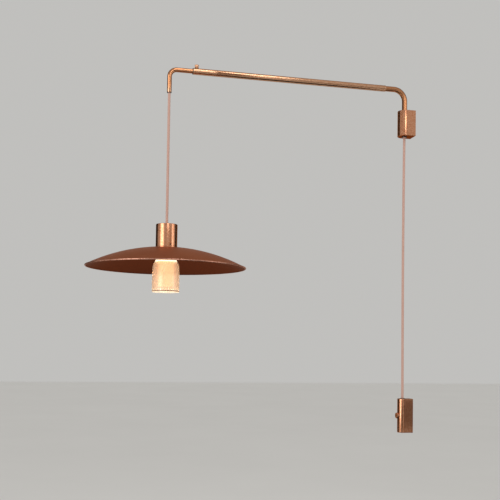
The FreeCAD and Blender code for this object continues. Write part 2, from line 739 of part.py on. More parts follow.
def tip_tube():
    near = sleeve_start + tube_lap + fit_gap
    bent("tip_tube", (tip_y, tip_end), (tip_y, arm_height), (-(standoff + near), arm_height), tip_bend,
         tip_tube_size, tip_tube_size - 2 * tube_wall)
    level_tube("stop_ring", sleeve_bore - 2 * running_gap, tip_tube_size + 2 * screw_gap,
               near, near + stop_length)
    bore = cord_size / 2 + cord_gap
    shank = tip_tube_size / 2 - tube_wall - screw_gap
    lip = tip_tube_size / 2
    deep = cord_size
    turned("tip_bush", [(bore, -gland_lip), (lip, -gland_lip), (lip, 0),
                        (shank, 0), (shank, deep), (bore, deep)], (0, tip_y, tip_end))


# ---------------------------------------------------------------- cord


def straight_cord(label, y, low, high):
    turned(label, rod_corners(cord_size, low, high), (0, y, 0))


def cords():
    """The one cord in its stretches: on the wall, in the arm, in the tip, free below it and in the cap."""
    box_entry = -box_drop + box_top + gland_lip
    straight_cord("wall_cord", -standoff, box_entry, cord_top)
    straight_cord("switch_cord", -standoff, -box_drop + dimmer_height / 2 + fit_gap, box_entry)
    split = tip_y + cord_joint
    bent("arm_cord", (-standoff, cord_top), (-standoff, arm_height), (split, arm_height),
         wall_bend, cord_size)
    bent("tip_cord", (tip_y, tip_end - gland_lip), (tip_y, arm_height), (split, arm_height),
         tip_bend, cord_size)
    straight_cord("pendant_cord", tip_y, cap_top + grip_rise, tip_end - gland_lip)
    straight_cord("cap_cord", tip_y, cap_foot + sink_height + fit_gap, cap_top + grip_rise)
    for name, radius in (("over the bracket", wall_bend), ("over the pendant", tip_bend)):
        print("cord bend %s: radius %.1f mm, %.1f diameters"
              % (name, float(radius), float(radius) / float(cord_size)))
    print("cord on the wall: %.1f mm" % float(cord_top - box_entry))
    print("cord below the arm: %.1f mm" % float(tip_end - gland_lip - cap_top - grip_rise))


# ---------------------------------------------------------------- pendant


def pendant_piece(label, corners):
    """A turned piece on the pendant's axis, its heights measured from where the cap meets the shade."""
    return turned(label, corners, (0, tip_y, cap_foot))


def cap():
    side = cap_size / 2
    inner = side - cap_wall
    roof = cap_height - cap_roof
    hole = grip_shank / 2 + screw_gap
    foot = sheet_height(2 * inner)
    body = pendant_piece("lamp_cap", [(hole, cap_height), (hole, roof), (inner, roof), (inner, foot),
                                      (side, foot), (side, cap_height)])
    bevel_edges(body, edge_bevel, round_edge_at(cap_height, cap_size))
    screw = new_sketch(body, "YZ_Plane", inner - cap_wall)
    draw_circle(screw, set_screw + 2 * screw_gap, (0, cap_screw_height))
    hole_cut = pocket(body, screw, 3 * cap_wall, Reversed=True)
    repeat(body, hole_cut, CAP_SCREWS)
    body.Placement.Rotation = CAP_TURN


def cap_screws():
    """Three set screws through the cap's side into the heat sink, as one group."""
    inner = cap_size / 2 - 2 * set_screw
    screws = []
    for i in range(CAP_SCREWS):
        turn = math.radians(cap_screw_turn + 360 * i / CAP_SCREWS)
        out = Vector(math.cos(turn), math.sin(turn), 0)
        screw = doc.addObject("Part::Cylinder", "cap_screw")
        screw.Placement.Rotation = FreeCAD.Rotation(Vector(0, 0, 1), out)
        tie(screw, "Placement.Base.x", inner * out.x)
        tie(screw, "Placement.Base.y", tip_y + inner * out.y)
        tie(screw, "Placement.Base.z", cap_foot + cap_screw_height)
        tie(screw, "Radius", set_screw / 2)
        tie(screw, "Height", 2 * set_screw)
        screws.append(screw)
    group = doc.addObject("Part::Compound", "cap_screws")
    group.Links = screws
    nodes.append(group)


def grip():
    bore = cord_size / 2 + screw_gap
    head = grip_head / 2
    shank = grip_shank / 2
    low = cap_height - cap_roof - 2 * grip_nut_height
    high = cap_height + grip_rise
    pendant_piece("cord_grip", [(bore, low), (shank, low), (shank, cap_height), (head, cap_height),
                                (head, high - edge_bevel), (head - edge_bevel, high), (bore, high)])
    nut = new_body("grip_nut", (0, tip_y, cap_foot))
    plan = new_sketch(nut, "XY_Plane", cap_height - cap_roof - grip_nut_height)
    draw_hexagon(plan, grip_nut_size)
    draw_circle(plan, grip_shank + 2 * screw_gap)
    pad(nut, plan, grip_nut_height)


def draw_shade(sketch):
    """The spun sheet: two arcs of one centre, from the middle hole to the hem."""
    crown = shade_crown()
    hole = shade_hole / 2
    rim = shade_size / 2 - shade_hem / 2
    ends = []
    for ball in (crown, crown - shade_sheet):
        for across in (hole, rim):
            ends.append((across, shade_centre() + root(ball * ball - across * across)))
    (top_in, top_out, low_in, low_out) = [Vector(float(a), float(b), 0) for a, b in ends]
    for start, finish, ball in ((top_in, top_out, crown), (low_in, low_out, crown - shade_sheet)):
        middle_x = (start.x + finish.x) / 2
        middle = Vector(middle_x, float(shade_centre()) + math.sqrt(float(ball) ** 2 - middle_x ** 2), 0)
        sketch.addGeometry(Part.Arc(start, middle, finish), False)
    sketch.addGeometry(Part.LineSegment(top_out, low_out), False)
    sketch.addGeometry(Part.LineSegment(low_in, top_in), False)
    # an arc is kept anticlockwise, so each starts at its rim end
    for a, a_end, b, b_end in ((0, 1, 2, 1), (2, 2, 1, 1), (1, 2, 3, 1), (3, 2, 0, 2)):
        sketch.addConstraint(Sketcher.Constraint("Coincident", a, a_end, b, b_end))
    pin_point(sketch, 0, 2, ends[0])
    pin_point(sketch, 0, 1, ends[1])
    pin_point(sketch, 1, 2, ends[2])
    pin_point(sketch, 1, 1, ends[3])
    dimension(sketch, "Radius", 0, crown)
    dimension(sketch, "Radius", 1, crown - shade_sheet)


def shade_crown():
    """The ball radius of the outer sheet, from the rim's and the cap's diameters and the rise between."""
    rim = shade_size / 2 - shade_hem / 2
    seat = cap_size / 2
    rise = shade_rise - shade_hem / 2 - shade_sheet / 2
    centre = (rim * rim - seat * seat + rise * rise) / (2 * rise)
    return root(seat * seat + centre * centre)


def shade_centre():
    """The ball's centre below where the cap stands."""
    crown = shade_crown()
    seat = cap_size / 2
    return -root(crown * crown - seat * seat)


def shade():
    body = new_body("shade", (0, tip_y, cap_foot))
    dome = new_sketch(body, "XZ_Plane")
    draw_shade(dome)
    turn_sketch(body, dome)
    hem = new_sketch(body, "XZ_Plane")
    draw_box(hem, shade_hem, shade_hem, (shade_size / 2 - shade_hem / 2, -(shade_rise - shade_hem / 2)))
    turn_sketch(body, hem)


def sheet_height(across, below=0):
    """The height of the shade's outer face at a diameter, or of the face a sheet below it."""
    ball = shade_crown() - below
    return shade_centre() + root(ball * ball - across * across / 4)


def heat_sink():
    """A turned sink: fins in the cap, a neck through the shade and the light module's seat."""
    wide = cap_size / 2 - cap_wall - fit_gap
    neck = shade_hole / 2 - fit_gap
    over = sheet_height(shade_hole) + face_gap
    low = glass_top - cap_foot - holder_wall - 2 * led_thick
    body = pendant_piece("heat_sink", [(0, low), (neck, low), (neck, over), (wide, over),
                                       (wide, sink_height), (0, sink_height)])
    slot = new_sketch(body, "XY_Plane", sink_height)
    draw_box(slot, cap_size / 2, sink_slot, (sink_core / 2 + cap_size / 4, 0))
    cut = pocket(body, slot, sink_height - cap_screw_height - set_screw)
    repeat(body, cut, SINK_SLOTS)
    tapped = new_sketch(body, "YZ_Plane", wide)
    draw_circle(tapped, set_screw + 2 * screw_gap, (0, cap_screw_height))
    hole = pocket(body, tapped, 2 * set_screw)
    repeat(body, hole, CAP_SCREWS)
    body.Placement.Rotation = CAP_TURN


def shade_ring():
    top = sheet_height(ring_size, shade_sheet)
    bore = shade_hole + 2 * screw_gap - 2 * fit_gap
    pendant_piece("ring_nut", tube_corners(ring_size, bore, top - ring_height, top))


def glass_parts():
    """The glass, its holder and rubber band, the opal tube and the light module."""
    top = glass_top - cap_foot
    foot = glass_foot - cap_foot
    outer = glass_size / 2
    mouth = glass_mouth / 2
    brow = glass_brow_size / 2
    inner_top = mouth - glass_wall
    neck_foot = top - glass_neck
    brow_foot = neck_foot - glass_brow
    full = brow_foot - glass_shoulder
    glass = pendant_piece("glass", [(0, foot), (outer, foot), (outer, full), (brow, brow_foot),
                                    (mouth, neck_foot), (mouth, top), (inner_top, top),
                                    (inner_top, neck_foot), (brow - glass_wall, brow_foot),
                                    (outer - glass_wall, full), (outer - glass_wall, foot + glass_floor),
                                    (0, foot + glass_floor)])
    bevel_edges(glass, glass_bevel, round_edge_at(foot, glass_size))
    band = 2 * fit_gap
    skirt = inner_top - band
    neck = shade_hole / 2 - fit_gap + screw_gap
    roof = top + holder_wall
    bore = skirt - holder_wall
    lip = top + face_gap
    low = top - holder_skirt
    pendant_piece("glass_holder", [(neck, top), (bore, top), (bore, low), (skirt, low), (skirt, lip),
                                   (mouth, lip), (mouth, roof), (neck, roof)])
    middle = top - glass_neck / 2
    pendant_piece("glass_band", tube_corners(2 * (inner_top - screw_gap), 2 * (skirt + screw_gap),
                                             middle - gasket_height / 2, middle + gasket_height / 2))
    opal = skirt - holder_wall - fit_gap
    high = top - face_gap
    low = high - diffuser_length
    pendant_piece("opal_tube", [(0, low), (opal, low), (opal, high), (opal - diffuser_wall, high),
                                (opal - diffuser_wall, low + diffuser_wall), (0, low + diffuser_wall)])
    seat = top - holder_wall - 2 * led_thick
    pendant_piece("light_module", rod_corners(led_size, seat - led_thick, seat))


# ---------------------------------------------------------------- all pieces

bracket_housing()
bracket_plate()
bracket_screws()
swivel_bushes()
cord_gland("bracket_gland", swivel_floor, (0, -standoff, bracket_foot), 1)
switch_housing()
switch_plate()
cord_gland("switch_gland", box_wall, (0, -standoff, -box_drop + box_top), -1)
dimmer()
dimmer_knob()
box_inside()
wall_tube()
sleeve()
guide_bush()
lock_screw()
tip_tube()
cords()
cap()
cap_screws()
grip()
shade()
heat_sink()
shade_ring()
glass_parts()
doc.recompute()

os.makedirs("parts", exist_ok=True)
for thing in doc.Objects:
    if "Invalid" in thing.State or "Error" in thing.State:
        raise RuntimeError(thing.Label + " failed: " + ", ".join(thing.State))
for body in nodes:
    if body.Shape.isNull() or not body.Shape.isValid():
        raise RuntimeError(body.Label + " has no valid shape")
for body in nodes:
    body.Shape.exportStep("parts/%s.step" % body.Label)
print("%d pieces written" % len(nodes))
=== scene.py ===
"""A telescopic swing-arm wall lamp in copper: the looks of its pieces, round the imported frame.

The part's own frame: +Z up, the wall at Y = 0, the lamp out along -Y. Shapes are worked out in
millimetres and brought to metres as their meshes are made. Cords, textures and stage are in metres.
"""
import json
import math
from collections import namedtuple

import bmesh
import bpy
import numpy as np
from mathutils import Matrix, Vector


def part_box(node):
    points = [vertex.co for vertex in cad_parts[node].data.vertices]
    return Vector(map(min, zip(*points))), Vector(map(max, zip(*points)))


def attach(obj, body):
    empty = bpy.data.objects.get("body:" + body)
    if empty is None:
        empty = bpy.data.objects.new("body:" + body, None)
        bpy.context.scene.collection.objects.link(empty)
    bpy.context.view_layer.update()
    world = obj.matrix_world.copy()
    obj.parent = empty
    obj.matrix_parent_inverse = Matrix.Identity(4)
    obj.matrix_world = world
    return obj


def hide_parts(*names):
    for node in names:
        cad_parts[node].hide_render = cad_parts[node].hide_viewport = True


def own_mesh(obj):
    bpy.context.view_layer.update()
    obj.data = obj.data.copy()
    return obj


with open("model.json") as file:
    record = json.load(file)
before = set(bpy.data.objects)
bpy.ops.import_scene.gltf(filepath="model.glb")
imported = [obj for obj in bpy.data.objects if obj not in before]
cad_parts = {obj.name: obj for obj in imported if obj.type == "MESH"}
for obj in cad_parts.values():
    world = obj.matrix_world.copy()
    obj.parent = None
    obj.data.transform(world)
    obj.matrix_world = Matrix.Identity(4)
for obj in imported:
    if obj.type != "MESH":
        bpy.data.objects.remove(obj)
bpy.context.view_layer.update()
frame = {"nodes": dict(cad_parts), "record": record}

MM = 0.001
TURN = 2 * math.pi
Point = namedtuple("Point", "x y z")
scene = bpy.context.scene


# ---------------- sizes read from the frame

def in_mm(vector):
    return Point(*(round(value / MM, 4) for value in vector))


def centre_of(node):
    """The middle of a node's box, in metres."""
    low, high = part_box(node)
    return (low + high) / 2


def box(node):
    """A node's lowest and highest corner and its radius, half its width in X, in millimetres."""
    low, high = map(in_mm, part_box(node))
    return low, high, (high.x - low.x) / 2


def middle(node):
    return in_mm(centre_of(node))


SWIVEL_Y = middle("bracket_gland").y
SWIVEL = (0, SWIVEL_Y, 0)
ARM_Z = middle("guide_bush").z
ARM = (0, 0, ARM_Z)
TIP_Y = middle("pendant_cord").y
PENDANT = (0, TIP_Y, 0)
KNOB = (0, 0, middle("dimmer_knob").z)
CAP_FOOT = box("cap_screws")[0].z - 4.5
TUBE_BORE = 6.08     # radius of the bores round the wall tube, in its bush and in the sleeve
CORD_BORE = 3.3      # radius of the hole through a cord bush
SHANK_HOLE = 4.5     # radius of the hole in which a cord bush's shank sits
SCREW_BORE = 1.56    # radius of the bore of a headless screw
HOUSING_EDGE = 0.9   # rounding of the housings' ends


# ---------------- shapes

def spread(start, end, count):
    return np.linspace(start, end, count)


def join(*parts):
    return np.concatenate(parts)


def lengths(vectors):
    return np.linalg.norm(vectors, axis=-1)


def full_turn(sides):
    """The angles of one turn, as a column."""
    return spread(0, TURN, sides + 1)[:-1, None]


def rounded(corners, radii, steps=6):
    """A closed outline through the corners, each turned into an arc of its own radius.

    The arc is tangent to both sides: its centre lies on the corner's bisector, and its points swing
    from one tangent point to the other. Returns the points and a wear mask, 1 on the arcs.
    """
    p = np.array(corners, float)
    r = np.broadcast_to(np.array(radii, float), (len(p),))[:, None]
    a, b = np.roll(p, 1, 0) - p, np.roll(p, -1, 0) - p
    la, lb = lengths(a)[:, None], lengths(b)[:, None]
    a, b = a / la, b / lb
    half = np.arccos(np.clip((a * b).sum(1), -0.9999, 0.9999))[:, None] / 2
    cut = np.minimum(r / np.tan(half), 0.48 * np.minimum(la, lb))
    r = cut * np.tan(half)
    bisector = (a + b) / lengths(a + b)[:, None]
    centre = p + bisector * r / np.sin(half)
    first, last = p + a * cut - centre, p + b * cut - centre
    t = spread(0, 1, steps)[None, :, None]
    swing = (math.pi - 2 * half)[:, :, None]
    arc = np.sin((1 - t) * swing) * first[:, None] + np.sin(t * swing) * last[:, None]
    points = (centre[:, None] + arc / np.sin(swing)).reshape(-1, 2)
    worn = np.repeat(np.where(r[:, 0] > 0, 1.0, 0.0), steps)
    keep = lengths(points - np.roll(points, 1, 0)) > 1e-4
    return points[keep], worn[keep]


def ring(bore, outside, low, high):
    """The four corners of a plain ring's outline."""
    return [(bore, low), (outside, low), (outside, high), (bore, high)]


def grid_faces(rows, columns, wrap_rows, wrap_columns):
    """Quads of a grid of points, rows first, that may close on itself either way."""
    i = np.arange(rows if wrap_rows else rows - 1)
    j = np.arange(columns if wrap_columns else columns - 1)
    i, j = np.meshgrid(i, j, indexing="ij")
    k, m = (i + 1) % rows, (j + 1) % columns
    quads = np.stack([i * columns + j, k * columns + j, k * columns + m, i * columns + m], -1)
    return quads.reshape(-1, 4)


def point_values(mesh, name, values):
    """Keeps one number for each point, under a name that a material reads."""
    attribute = mesh.attributes.new(name, "FLOAT", "POINT")
    attribute.data.foreach_set("value", np.asarray(values, np.float32).ravel())


def close_up(mesh, turn_out=False, fill_gaps=False):
    """Merges points that lie together, so that seams and poles close; may fill gaps or turn faces out."""
    shape = bmesh.new()
    shape.from_mesh(mesh)
    bmesh.ops.remove_doubles(shape, verts=shape.verts, dist=1e-7)
    bmesh.ops.dissolve_degenerate(shape, edges=shape.edges, dist=1e-8)
    if fill_gaps:
        bmesh.ops.holes_fill(shape, edges=[edge for edge in shape.edges if edge.is_boundary], sides=0)
    if turn_out:
        bmesh.ops.recalc_face_normals(shape, faces=shape.faces)
    shape.to_mesh(mesh)
    shape.free()


def shade_smooth(mesh, sharp):
    """Smooth faces, with creases over an angle."""
    mesh.polygons.foreach_set("use_smooth", np.ones(len(mesh.polygons), bool))
    mesh.set_sharp_from_angle(angle=math.radians(sharp))
    mesh.update()


def new_object(name, data):
    thing = bpy.data.objects.new(name, data)
    scene.collection.objects.link(thing)
    return thing


class Surface:
    """Points, faces, a flat map of the distances run and a wear mask, gathered for one piece."""

    def __init__(self):
        self.points, self.faces, self.flat, self.worn, self.count = [], [], [], [], 0

    def grid(self, points, wrap_rows=False, wrap_columns=False, worn=None):
        """Adds a grid of points; the flat map is the distance run along its rows and columns."""
        rows, columns = points.shape[:2]
        self.faces.append(grid_faces(rows, columns, wrap_rows, wrap_columns) + self.count)
        steps = lengths(np.diff(points, axis=0)).max(1)
        runs = lengths(np.diff(points, axis=1)).max(0)
        u, v = (join([0], np.cumsum(gaps)) for gaps in (steps, runs))
        flat = np.stack(np.meshgrid(u, v, indexing="ij"), -1)
        self.points.append(points.reshape(-1, 3))
        self.flat.append(flat.reshape(-1, 2))
        worn = np.zeros(columns) if worn is None else worn
        self.worn.append(np.broadcast_to(worn, (rows, columns)).reshape(-1))
        self.count += rows * columns
        return self

    def mesh(self, name, sharp=40):
        """The mesh in metres, closed and smooth, with its map and its wear mask."""
        mesh = bpy.data.meshes.new(name)
        points, flat = join(*self.points) * MM, join(*self.flat) * MM
        mesh.from_pydata(points.tolist(), [], join(*self.faces).tolist())
        mesh.uv_layers.new(name="flat")
        corners = np.zeros(len(mesh.loops), np.int64)
        mesh.loops.foreach_get("vertex_index", corners)
        mesh.uv_layers["flat"].data.foreach_set("uv", flat[corners].astype(np.float32).ravel())
        point_values(mesh, "wear", join(*self.worn))
        close_up(mesh)
        shade_smooth(mesh, sharp)
        return mesh


def lathe(outline, worn, axis, along="z", sides=72, ripple=None):
    """A closed outline of (radius, height) carried round an axis.

    A point lies at radius times (cos t, sin t) across the axis and at its height along it; along is z
    (up) or -y (away from the wall). ripple(t, radius, height) may change the radius round the turn.
    """
    t = full_turn(sides)
    radius, height = outline[None, :, 0], outline[None, :, 1]
    if ripple is not None:
        radius = ripple(t, radius, height)
    x, y = radius * np.cos(t), radius * np.sin(t)
    z = np.broadcast_to(height, x.shape)
    points = np.stack([x, y, z] if along == "z" else [x, -z, y], -1) + np.array(axis, float)
    return Surface().grid(points, wrap_rows=True, wrap_columns=True, worn=worn)


def hexagon(t, flat):
    """A hexagon socket's wall at turn t: flat / cos(t mod 60 degrees - 30 degrees)."""
    return flat / np.cos(np.mod(t, TURN / 6) - TURN / 12)


def elbow(foot_y, foot_z, end_y, bend):
    """The centre line of a bent tube: up from its foot, a quarter turn, and level at the arm's height.

    Returns a function of the distance run that gives the point as y and z, in the turn foot plus bend
    times (1 - cos a, sin a), and the direction across the line as y and z.
    """
    side = math.copysign(1.0, end_y - foot_y)
    rise = ARM_Z - bend - foot_z
    curve = bend * math.pi / 2

    def at(run):
        turn = np.clip((run - rise) / bend, 0, math.pi / 2)
        before, after = np.minimum(run, rise), np.maximum(run - rise - curve, 0)
        y = foot_y + side * (bend * (1 - np.cos(turn)) + after)
        z = foot_z + before + bend * np.sin(turn)
        return y, z, -side * np.cos(turn), np.sin(turn)
    at.side, at.rise, at.curve = side, rise, curve
    at.length = rise + curve + abs(end_y - foot_y) - bend
    return at


def bent_tube(line, outside, wall=1, lip=0.3, sides=40, steps=28):
    """A tube's closed wall: out along the skin, over a softened lip at both ends, back along the bore.

    Each ring is centre + r (cos t across the line in its plane + sin t along X).
    """
    bend_end = line.rise + line.curve
    runs = join([0], spread(line.rise * 0.5, line.rise, 3),
                line.rise + line.curve * spread(0, 1, steps)[1:], spread(bend_end, line.length, 8)[1:])
    over = spread(0, math.pi / 2, 4)
    easing, rising = lip * (1 - np.cos(over)), lip * (1 - np.sin(over))
    skin, back = np.full(len(runs) - 2, outside), np.full(len(runs), outside - wall)
    run = join(easing, runs[1:-1], line.length - rising, runs[::-1])
    radius = join(outside - rising, skin, outside - easing, back)
    worn = join(np.ones(4), 0 * skin, np.ones(4), 0 * back)
    y, z, across_y, across_z = line(run)
    t = line.side * full_turn(sides)
    out = radius * np.cos(t)
    points = np.stack([radius * np.sin(t), y + out * across_y, z + out * across_z], -1)
    return Surface().grid(points, wrap_rows=True, wrap_columns=True, worn=worn)


# ---------------- camera

def camera():
    """The photograph's view: a low eye beyond the lamp's tip side, looking back along the wall."""
    eye = (1763.9 * MM, -788.7 * MM, -526.7 * MM)
    yaw, pitch, roll = math.radians(77.17), math.radians(2.2), math.radians(0.84)
    data = bpy.data.cameras.new("camera")
    data.lens, data.sensor_width, data.shift_y = 58.46, 36.0, 0.13
    data.clip_end = 100
    cam = new_object("camera", data)
    level = np.array([-math.sin(yaw), math.cos(yaw), 0.0])
    ahead = math.cos(pitch) * level + (0, 0, math.sin(pitch))
    right = np.array([math.cos(yaw), math.sin(yaw), 0.0])
    up = np.cross(right, ahead)
    tilted = math.cos(roll) * right + math.sin(roll) * up
    raised = math.cos(roll) * up - math.sin(roll) * right
    turn = np.eye(4)
    turn[:3, 0], turn[:3, 1], turn[:3, 2], turn[:3, 3] = tilted, raised, -ahead, eye
    cam.matrix_world = Matrix(turn.tolist())
    scene.camera = cam


# ---------------- finishes: shared effects

def feed(tree, socket, value):
    """Links a socket to another node's output, or sets it; a colour of three numbers is opaque."""
    if isinstance(value, bpy.types.NodeSocket):
        tree.links.new(value, socket)
    elif socket.type == "RGBA":
        socket.default_value = (*value, 1.0)
    else:
        socket.default_value = value


def fill(tree, node, **values):
    """Feeds a node's inputs by name, an underscore standing for a space."""
    for label, value in values.items():
        feed(tree, node.inputs[label.replace("_", " ")], value)


def wire(tree, kind, inputs=(), **settings):
    """A shader node with its settings, its inputs set or linked by name or number."""
    node = tree.nodes.new("ShaderNode" + kind)
    for prop, value in settings.items():
        setattr(node, prop, value)
    for key, value in dict(inputs).items():
        feed(tree, node.inputs[key], value)
    return node


def ramp(tree, value, low, high, to_low=0.0, to_high=1.0):
    node = wire(tree, "MapRange", {"Value": value, "From Min": low, "From Max": high,
                                   "To Min": to_low, "To Max": to_high})
    return node.outputs["Result"]


def mixed(tree, mask, first, second):
    node = wire(tree, "Mix", {0: mask, 6: first, 7: second}, data_type="RGBA")
    return node.outputs[2]


def combined(tree, operation, a, b):
    return wire(tree, "Math", {0: a, 1: b}, operation=operation).outputs[0]


def vector_math(tree, operation, *vectors):
    node = wire(tree, "VectorMath", dict(enumerate(vectors)), operation=operation)
    return node.outputs["Value" if operation == "LENGTH" else "Vector"]


def noise(tree, at, scale, detail, roughness=0.5, distortion=0.0):
    node = wire(tree, "TexNoise", {"Vector": at, "Scale": scale, "Detail": detail,
                                   "Roughness": roughness, "Distortion": distortion})
    return node.outputs["Fac"]


def value_of(tree, attribute):
    return wire(tree, "Attribute", attribute_name=attribute).outputs["Fac"]


def new_group(name, outputs, **amounts):
    """A node group that takes a place and some amounts, and gives plain values."""
    group = bpy.data.node_groups.new(name, "ShaderNodeTree")
    group.interface.new_socket("Vector", in_out="INPUT", socket_type="NodeSocketVector")
    for label, amount in amounts.items():
        socket = group.interface.new_socket(label, in_out="INPUT", socket_type="NodeSocketFloat")
        socket.default_value = amount
    for label in outputs:
        group.interface.new_socket(label, in_out="OUTPUT", socket_type="NodeSocketFloat")
    given, out = group.nodes.new("NodeGroupInput"), group.nodes.new("NodeGroupOutput")
    return group, given.outputs, out.inputs


def make_brushed():
    """Fine streaks: noise at the place times (across, along, along), so it is stretched one way."""
    group, given, out = new_group("brushed grain", ["Streaks"], Across=9000.0, Along=60.0)
    size = wire(group, "CombineXYZ", {0: given["Across"], 1: given["Along"], 2: given["Along"]}).outputs[0]
    at = vector_math(group, "MULTIPLY", given["Vector"], size)
    feed(group, out["Streaks"], noise(group, at, 1.0, 3.0, 0.6))
    return group


def make_clouding():
    """Slow uneven tone of handled, lacquered metal: noise of one size, and small marks 7 times finer."""
    group, given, out = new_group("clouding", ["Clouds", "Marks"], Size=40.0)
    slow = noise(group, given["Vector"], given["Size"], 4.0, 0.55)
    fine_size = combined(group, "MULTIPLY", given["Size"], 7.0)
    fine = noise(group, given["Vector"], fine_size, 5.0, 0.65, 0.6)
    feed(group, out["Clouds"], ramp(group, slow, 0.3, 0.7))
    feed(group, out["Marks"], ramp(group, fine, 0.52, 0.75))
    return group


def make_edge_wear():
    """Where handling has thinned the finish: the piece's wear mask times noise times the amount."""
    group, given, out = new_group("edge wear", ["Wear"], Amount=0.5)
    broken = ramp(group, noise(group, given["Vector"], 320.0, 4.0, 0.6), 0.35, 0.7, 0.15, 1.0)
    worn = combined(group, "MULTIPLY", value_of(group, "wear"), broken)
    feed(group, out["Wear"], combined(group, "MULTIPLY", worn, given["Amount"]))
    return group


def make_pores():
    """The faint unevenness of a moulded or sprayed surface: plain noise, as a height."""
    group, given, out = new_group("pores", ["Height"], Size=1500.0)
    feed(group, out["Height"], noise(group, given["Vector"], given["Size"], 3.0))
    return group


brushed, clouding, edge_wear, pores = make_brushed(), make_clouding(), make_edge_wear(), make_pores()


# ---------------- finishes: materials

def new_material(name, **sockets):
    """A material, its tree, its shader with constants on it, and the place in the object's own space."""
    material = bpy.data.materials.new(name)
    material.use_nodes = True
    tree = material.node_tree
    shader = tree.nodes["Principled BSDF"]
    fill(tree, shader, **sockets)
    return material, tree, shader, wire(tree, "TexCoord").outputs["Object"]


def placed(tree, group, **values):
    """A shared effect put to work in a material; gives its outputs."""
    return wire(tree, "Group", values, node_tree=group).outputs


def bumped(tree, shader, height, distance, strength):
    bump = {"Height": height, "Distance": distance, "Strength": strength}
    fill(tree, shader, Normal=wire(tree, "Bump", bump).outputs["Normal"])


def copper(name, colour, deep, bright, rough, depth, across, along):
    """Plated metal: cloudy tone, fine streaks along the piece, and paler worn edges."""
    material, tree, shader, place = new_material(
        name, Metallic=1.0, Specular_Tint=(0.35, 0.22, 0.16), Coat_Weight=0.03, Coat_Roughness=0.12)
    flat = wire(tree, "UVMap", uv_map="flat").outputs["UV"]
    streaks = placed(tree, brushed, Vector=flat, Across=across, Along=along)["Streaks"]
    clouds = placed(tree, clouding, Vector=place, Size=26.0)
    wear = placed(tree, edge_wear, Vector=place, Amount=0.75)["Wear"]
    tone = mixed(tree, wear, mixed(tree, clouds["Clouds"], deep, colour), bright)
    uneven = ramp(tree, streaks, 0.3, 0.7, rough - 0.02, rough + 0.03)
    marked = combined(tree, "MULTIPLY", clouds["Marks"], 0.03)
    fill(tree, shader, Base_Color=tone, Roughness=combined(tree, "ADD", uneven, marked))
    bumped(tree, shader, streaks, depth, 0.6)
    return material


def spun_copper():
    """A spun sheet under matt lacquer: rings of noise in the radius from the pendant's axis, slow
    clouds, a darker inside, and a bead that is smoother and paler where worn, its pale tone also a
    painted highlight along the rim.
    """
    material, tree, shader, place = new_material(
        "shade_copper", Metallic=0.9, Specular_Tint=(0.7, 0.45, 0.35), Coat_Weight=0.04, Coat_Roughness=0.4)
    colour, deep, rough = (0.38, 0.135, 0.072), (0.31, 0.105, 0.056), 0.42
    # bright is the bead's pale tone: wear, and also a painted highlight along the rim
    bright, within = (0.74, 0.39, 0.29), (0.17, 0.042, 0.019)
    centred = wire(tree, "Mapping", {"Vector": place, "Location": (0, -TIP_Y * MM, 0)})
    level = vector_math(tree, "MULTIPLY", centred.outputs[0], (1, 1, 0))
    radius = combined(tree, "MULTIPLY", vector_math(tree, "LENGTH", level), 2600.0)
    rings = wire(tree, "TexNoise", {"W": radius, "Scale": 1.0, "Detail": 2.0},
                 noise_dimensions="1D").outputs["Fac"]
    clouds = placed(tree, clouding, Vector=place, Size=11.0)
    wear = placed(tree, edge_wear, Vector=place, Amount=1.3)["Wear"]
    tone = mixed(tree, clouds["Clouds"], deep, colour)
    tone = mixed(tree, value_of(tree, "within"), tone, within)
    uneven = ramp(tree, rings, 0.3, 0.7, rough - 0.03, rough + 0.04)
    uneven = combined(tree, "ADD", uneven, combined(tree, "MULTIPLY", wear, -0.26))
    marked = combined(tree, "MULTIPLY", clouds["Marks"], 0.06)
    # the bead is paler where worn, and this pale tone is also a painted highlight along the rim
    fill(tree, shader, Base_Color=mixed(tree, wear, tone, bright),
         Roughness=combined(tree, "ADD", uneven, marked))
    fine = placed(tree, pores, Vector=place, Size=1400.0)["Height"]
    bumped(tree, shader, combined(tree, "ADD", combined(tree, "MULTIPLY", rings, 0.6), fine), 0.00003, 0.7)
    return material


def plain_metal(name, colour, deep, rough):
    """Plated or oxidised steel and turned aluminium."""
    material, tree, shader, place = new_material(name, Metallic=1.0)
    streaks = placed(tree, brushed, Vector=place, Across=5000.0, Along=250.0)["Streaks"]
    clouds = placed(tree, clouding, Vector=place, Size=90.0)["Clouds"]
    fill(tree, shader, Base_Color=mixed(tree, clouds, deep, colour),
         Roughness=ramp(tree, streaks, 0.25, 0.75, rough - 0.06, rough + 0.08))
    bumped(tree, shader, streaks, 0.00001, 0.5)
    return material


def moulded(name, colour, deep, rough, size=1800.0):
    """Moulded plastic or rubber with a fine spark texture."""
    material, tree, shader, place = new_material(name)
    height = placed(tree, pores, Vector=place, Size=size)["Height"]
    clouds = placed(tree, clouding, Vector=place, Size=60.0)["Clouds"]
    fill(tree, shader, Base_Color=mixed(tree, clouds, deep, colour),
         Roughness=ramp(tree, height, 0.3, 0.7, rough - 0.05, rough + 0.07))
    bumped(tree, shader, height, 0.00002, 0.6)
    return material


def textile():
    """A braided cord sleeve: two threads of slightly different rose, with painted shade between the strands.
    """
    material, tree, shader, place = new_material(
        "textile_cord", Roughness=0.72, Sheen_Weight=0.35, Sheen_Roughness=0.4, Specular_IOR_Level=0.35)
    clouds = placed(tree, clouding, Vector=place, Size=55.0)["Clouds"]
    rose = mixed(tree, value_of(tree, "thread"), (0.72, 0.47, 0.41), (0.80, 0.57, 0.47))
    rose = mixed(tree, combined(tree, "MULTIPLY", clouds, 0.35), rose, (0.66, 0.40, 0.34))
    # depth darkens the rose towards a deep brown: painted shade between the strands and over their sides
    fill(tree, shader, Base_Color=mixed(tree, value_of(tree, "depth"), (0.36, 0.19, 0.15), rose))
    fibres = placed(tree, pores, Vector=place, Size=6000.0)["Height"]
    bumped(tree, shader, fibres, 0.00004, 0.8)
    return material


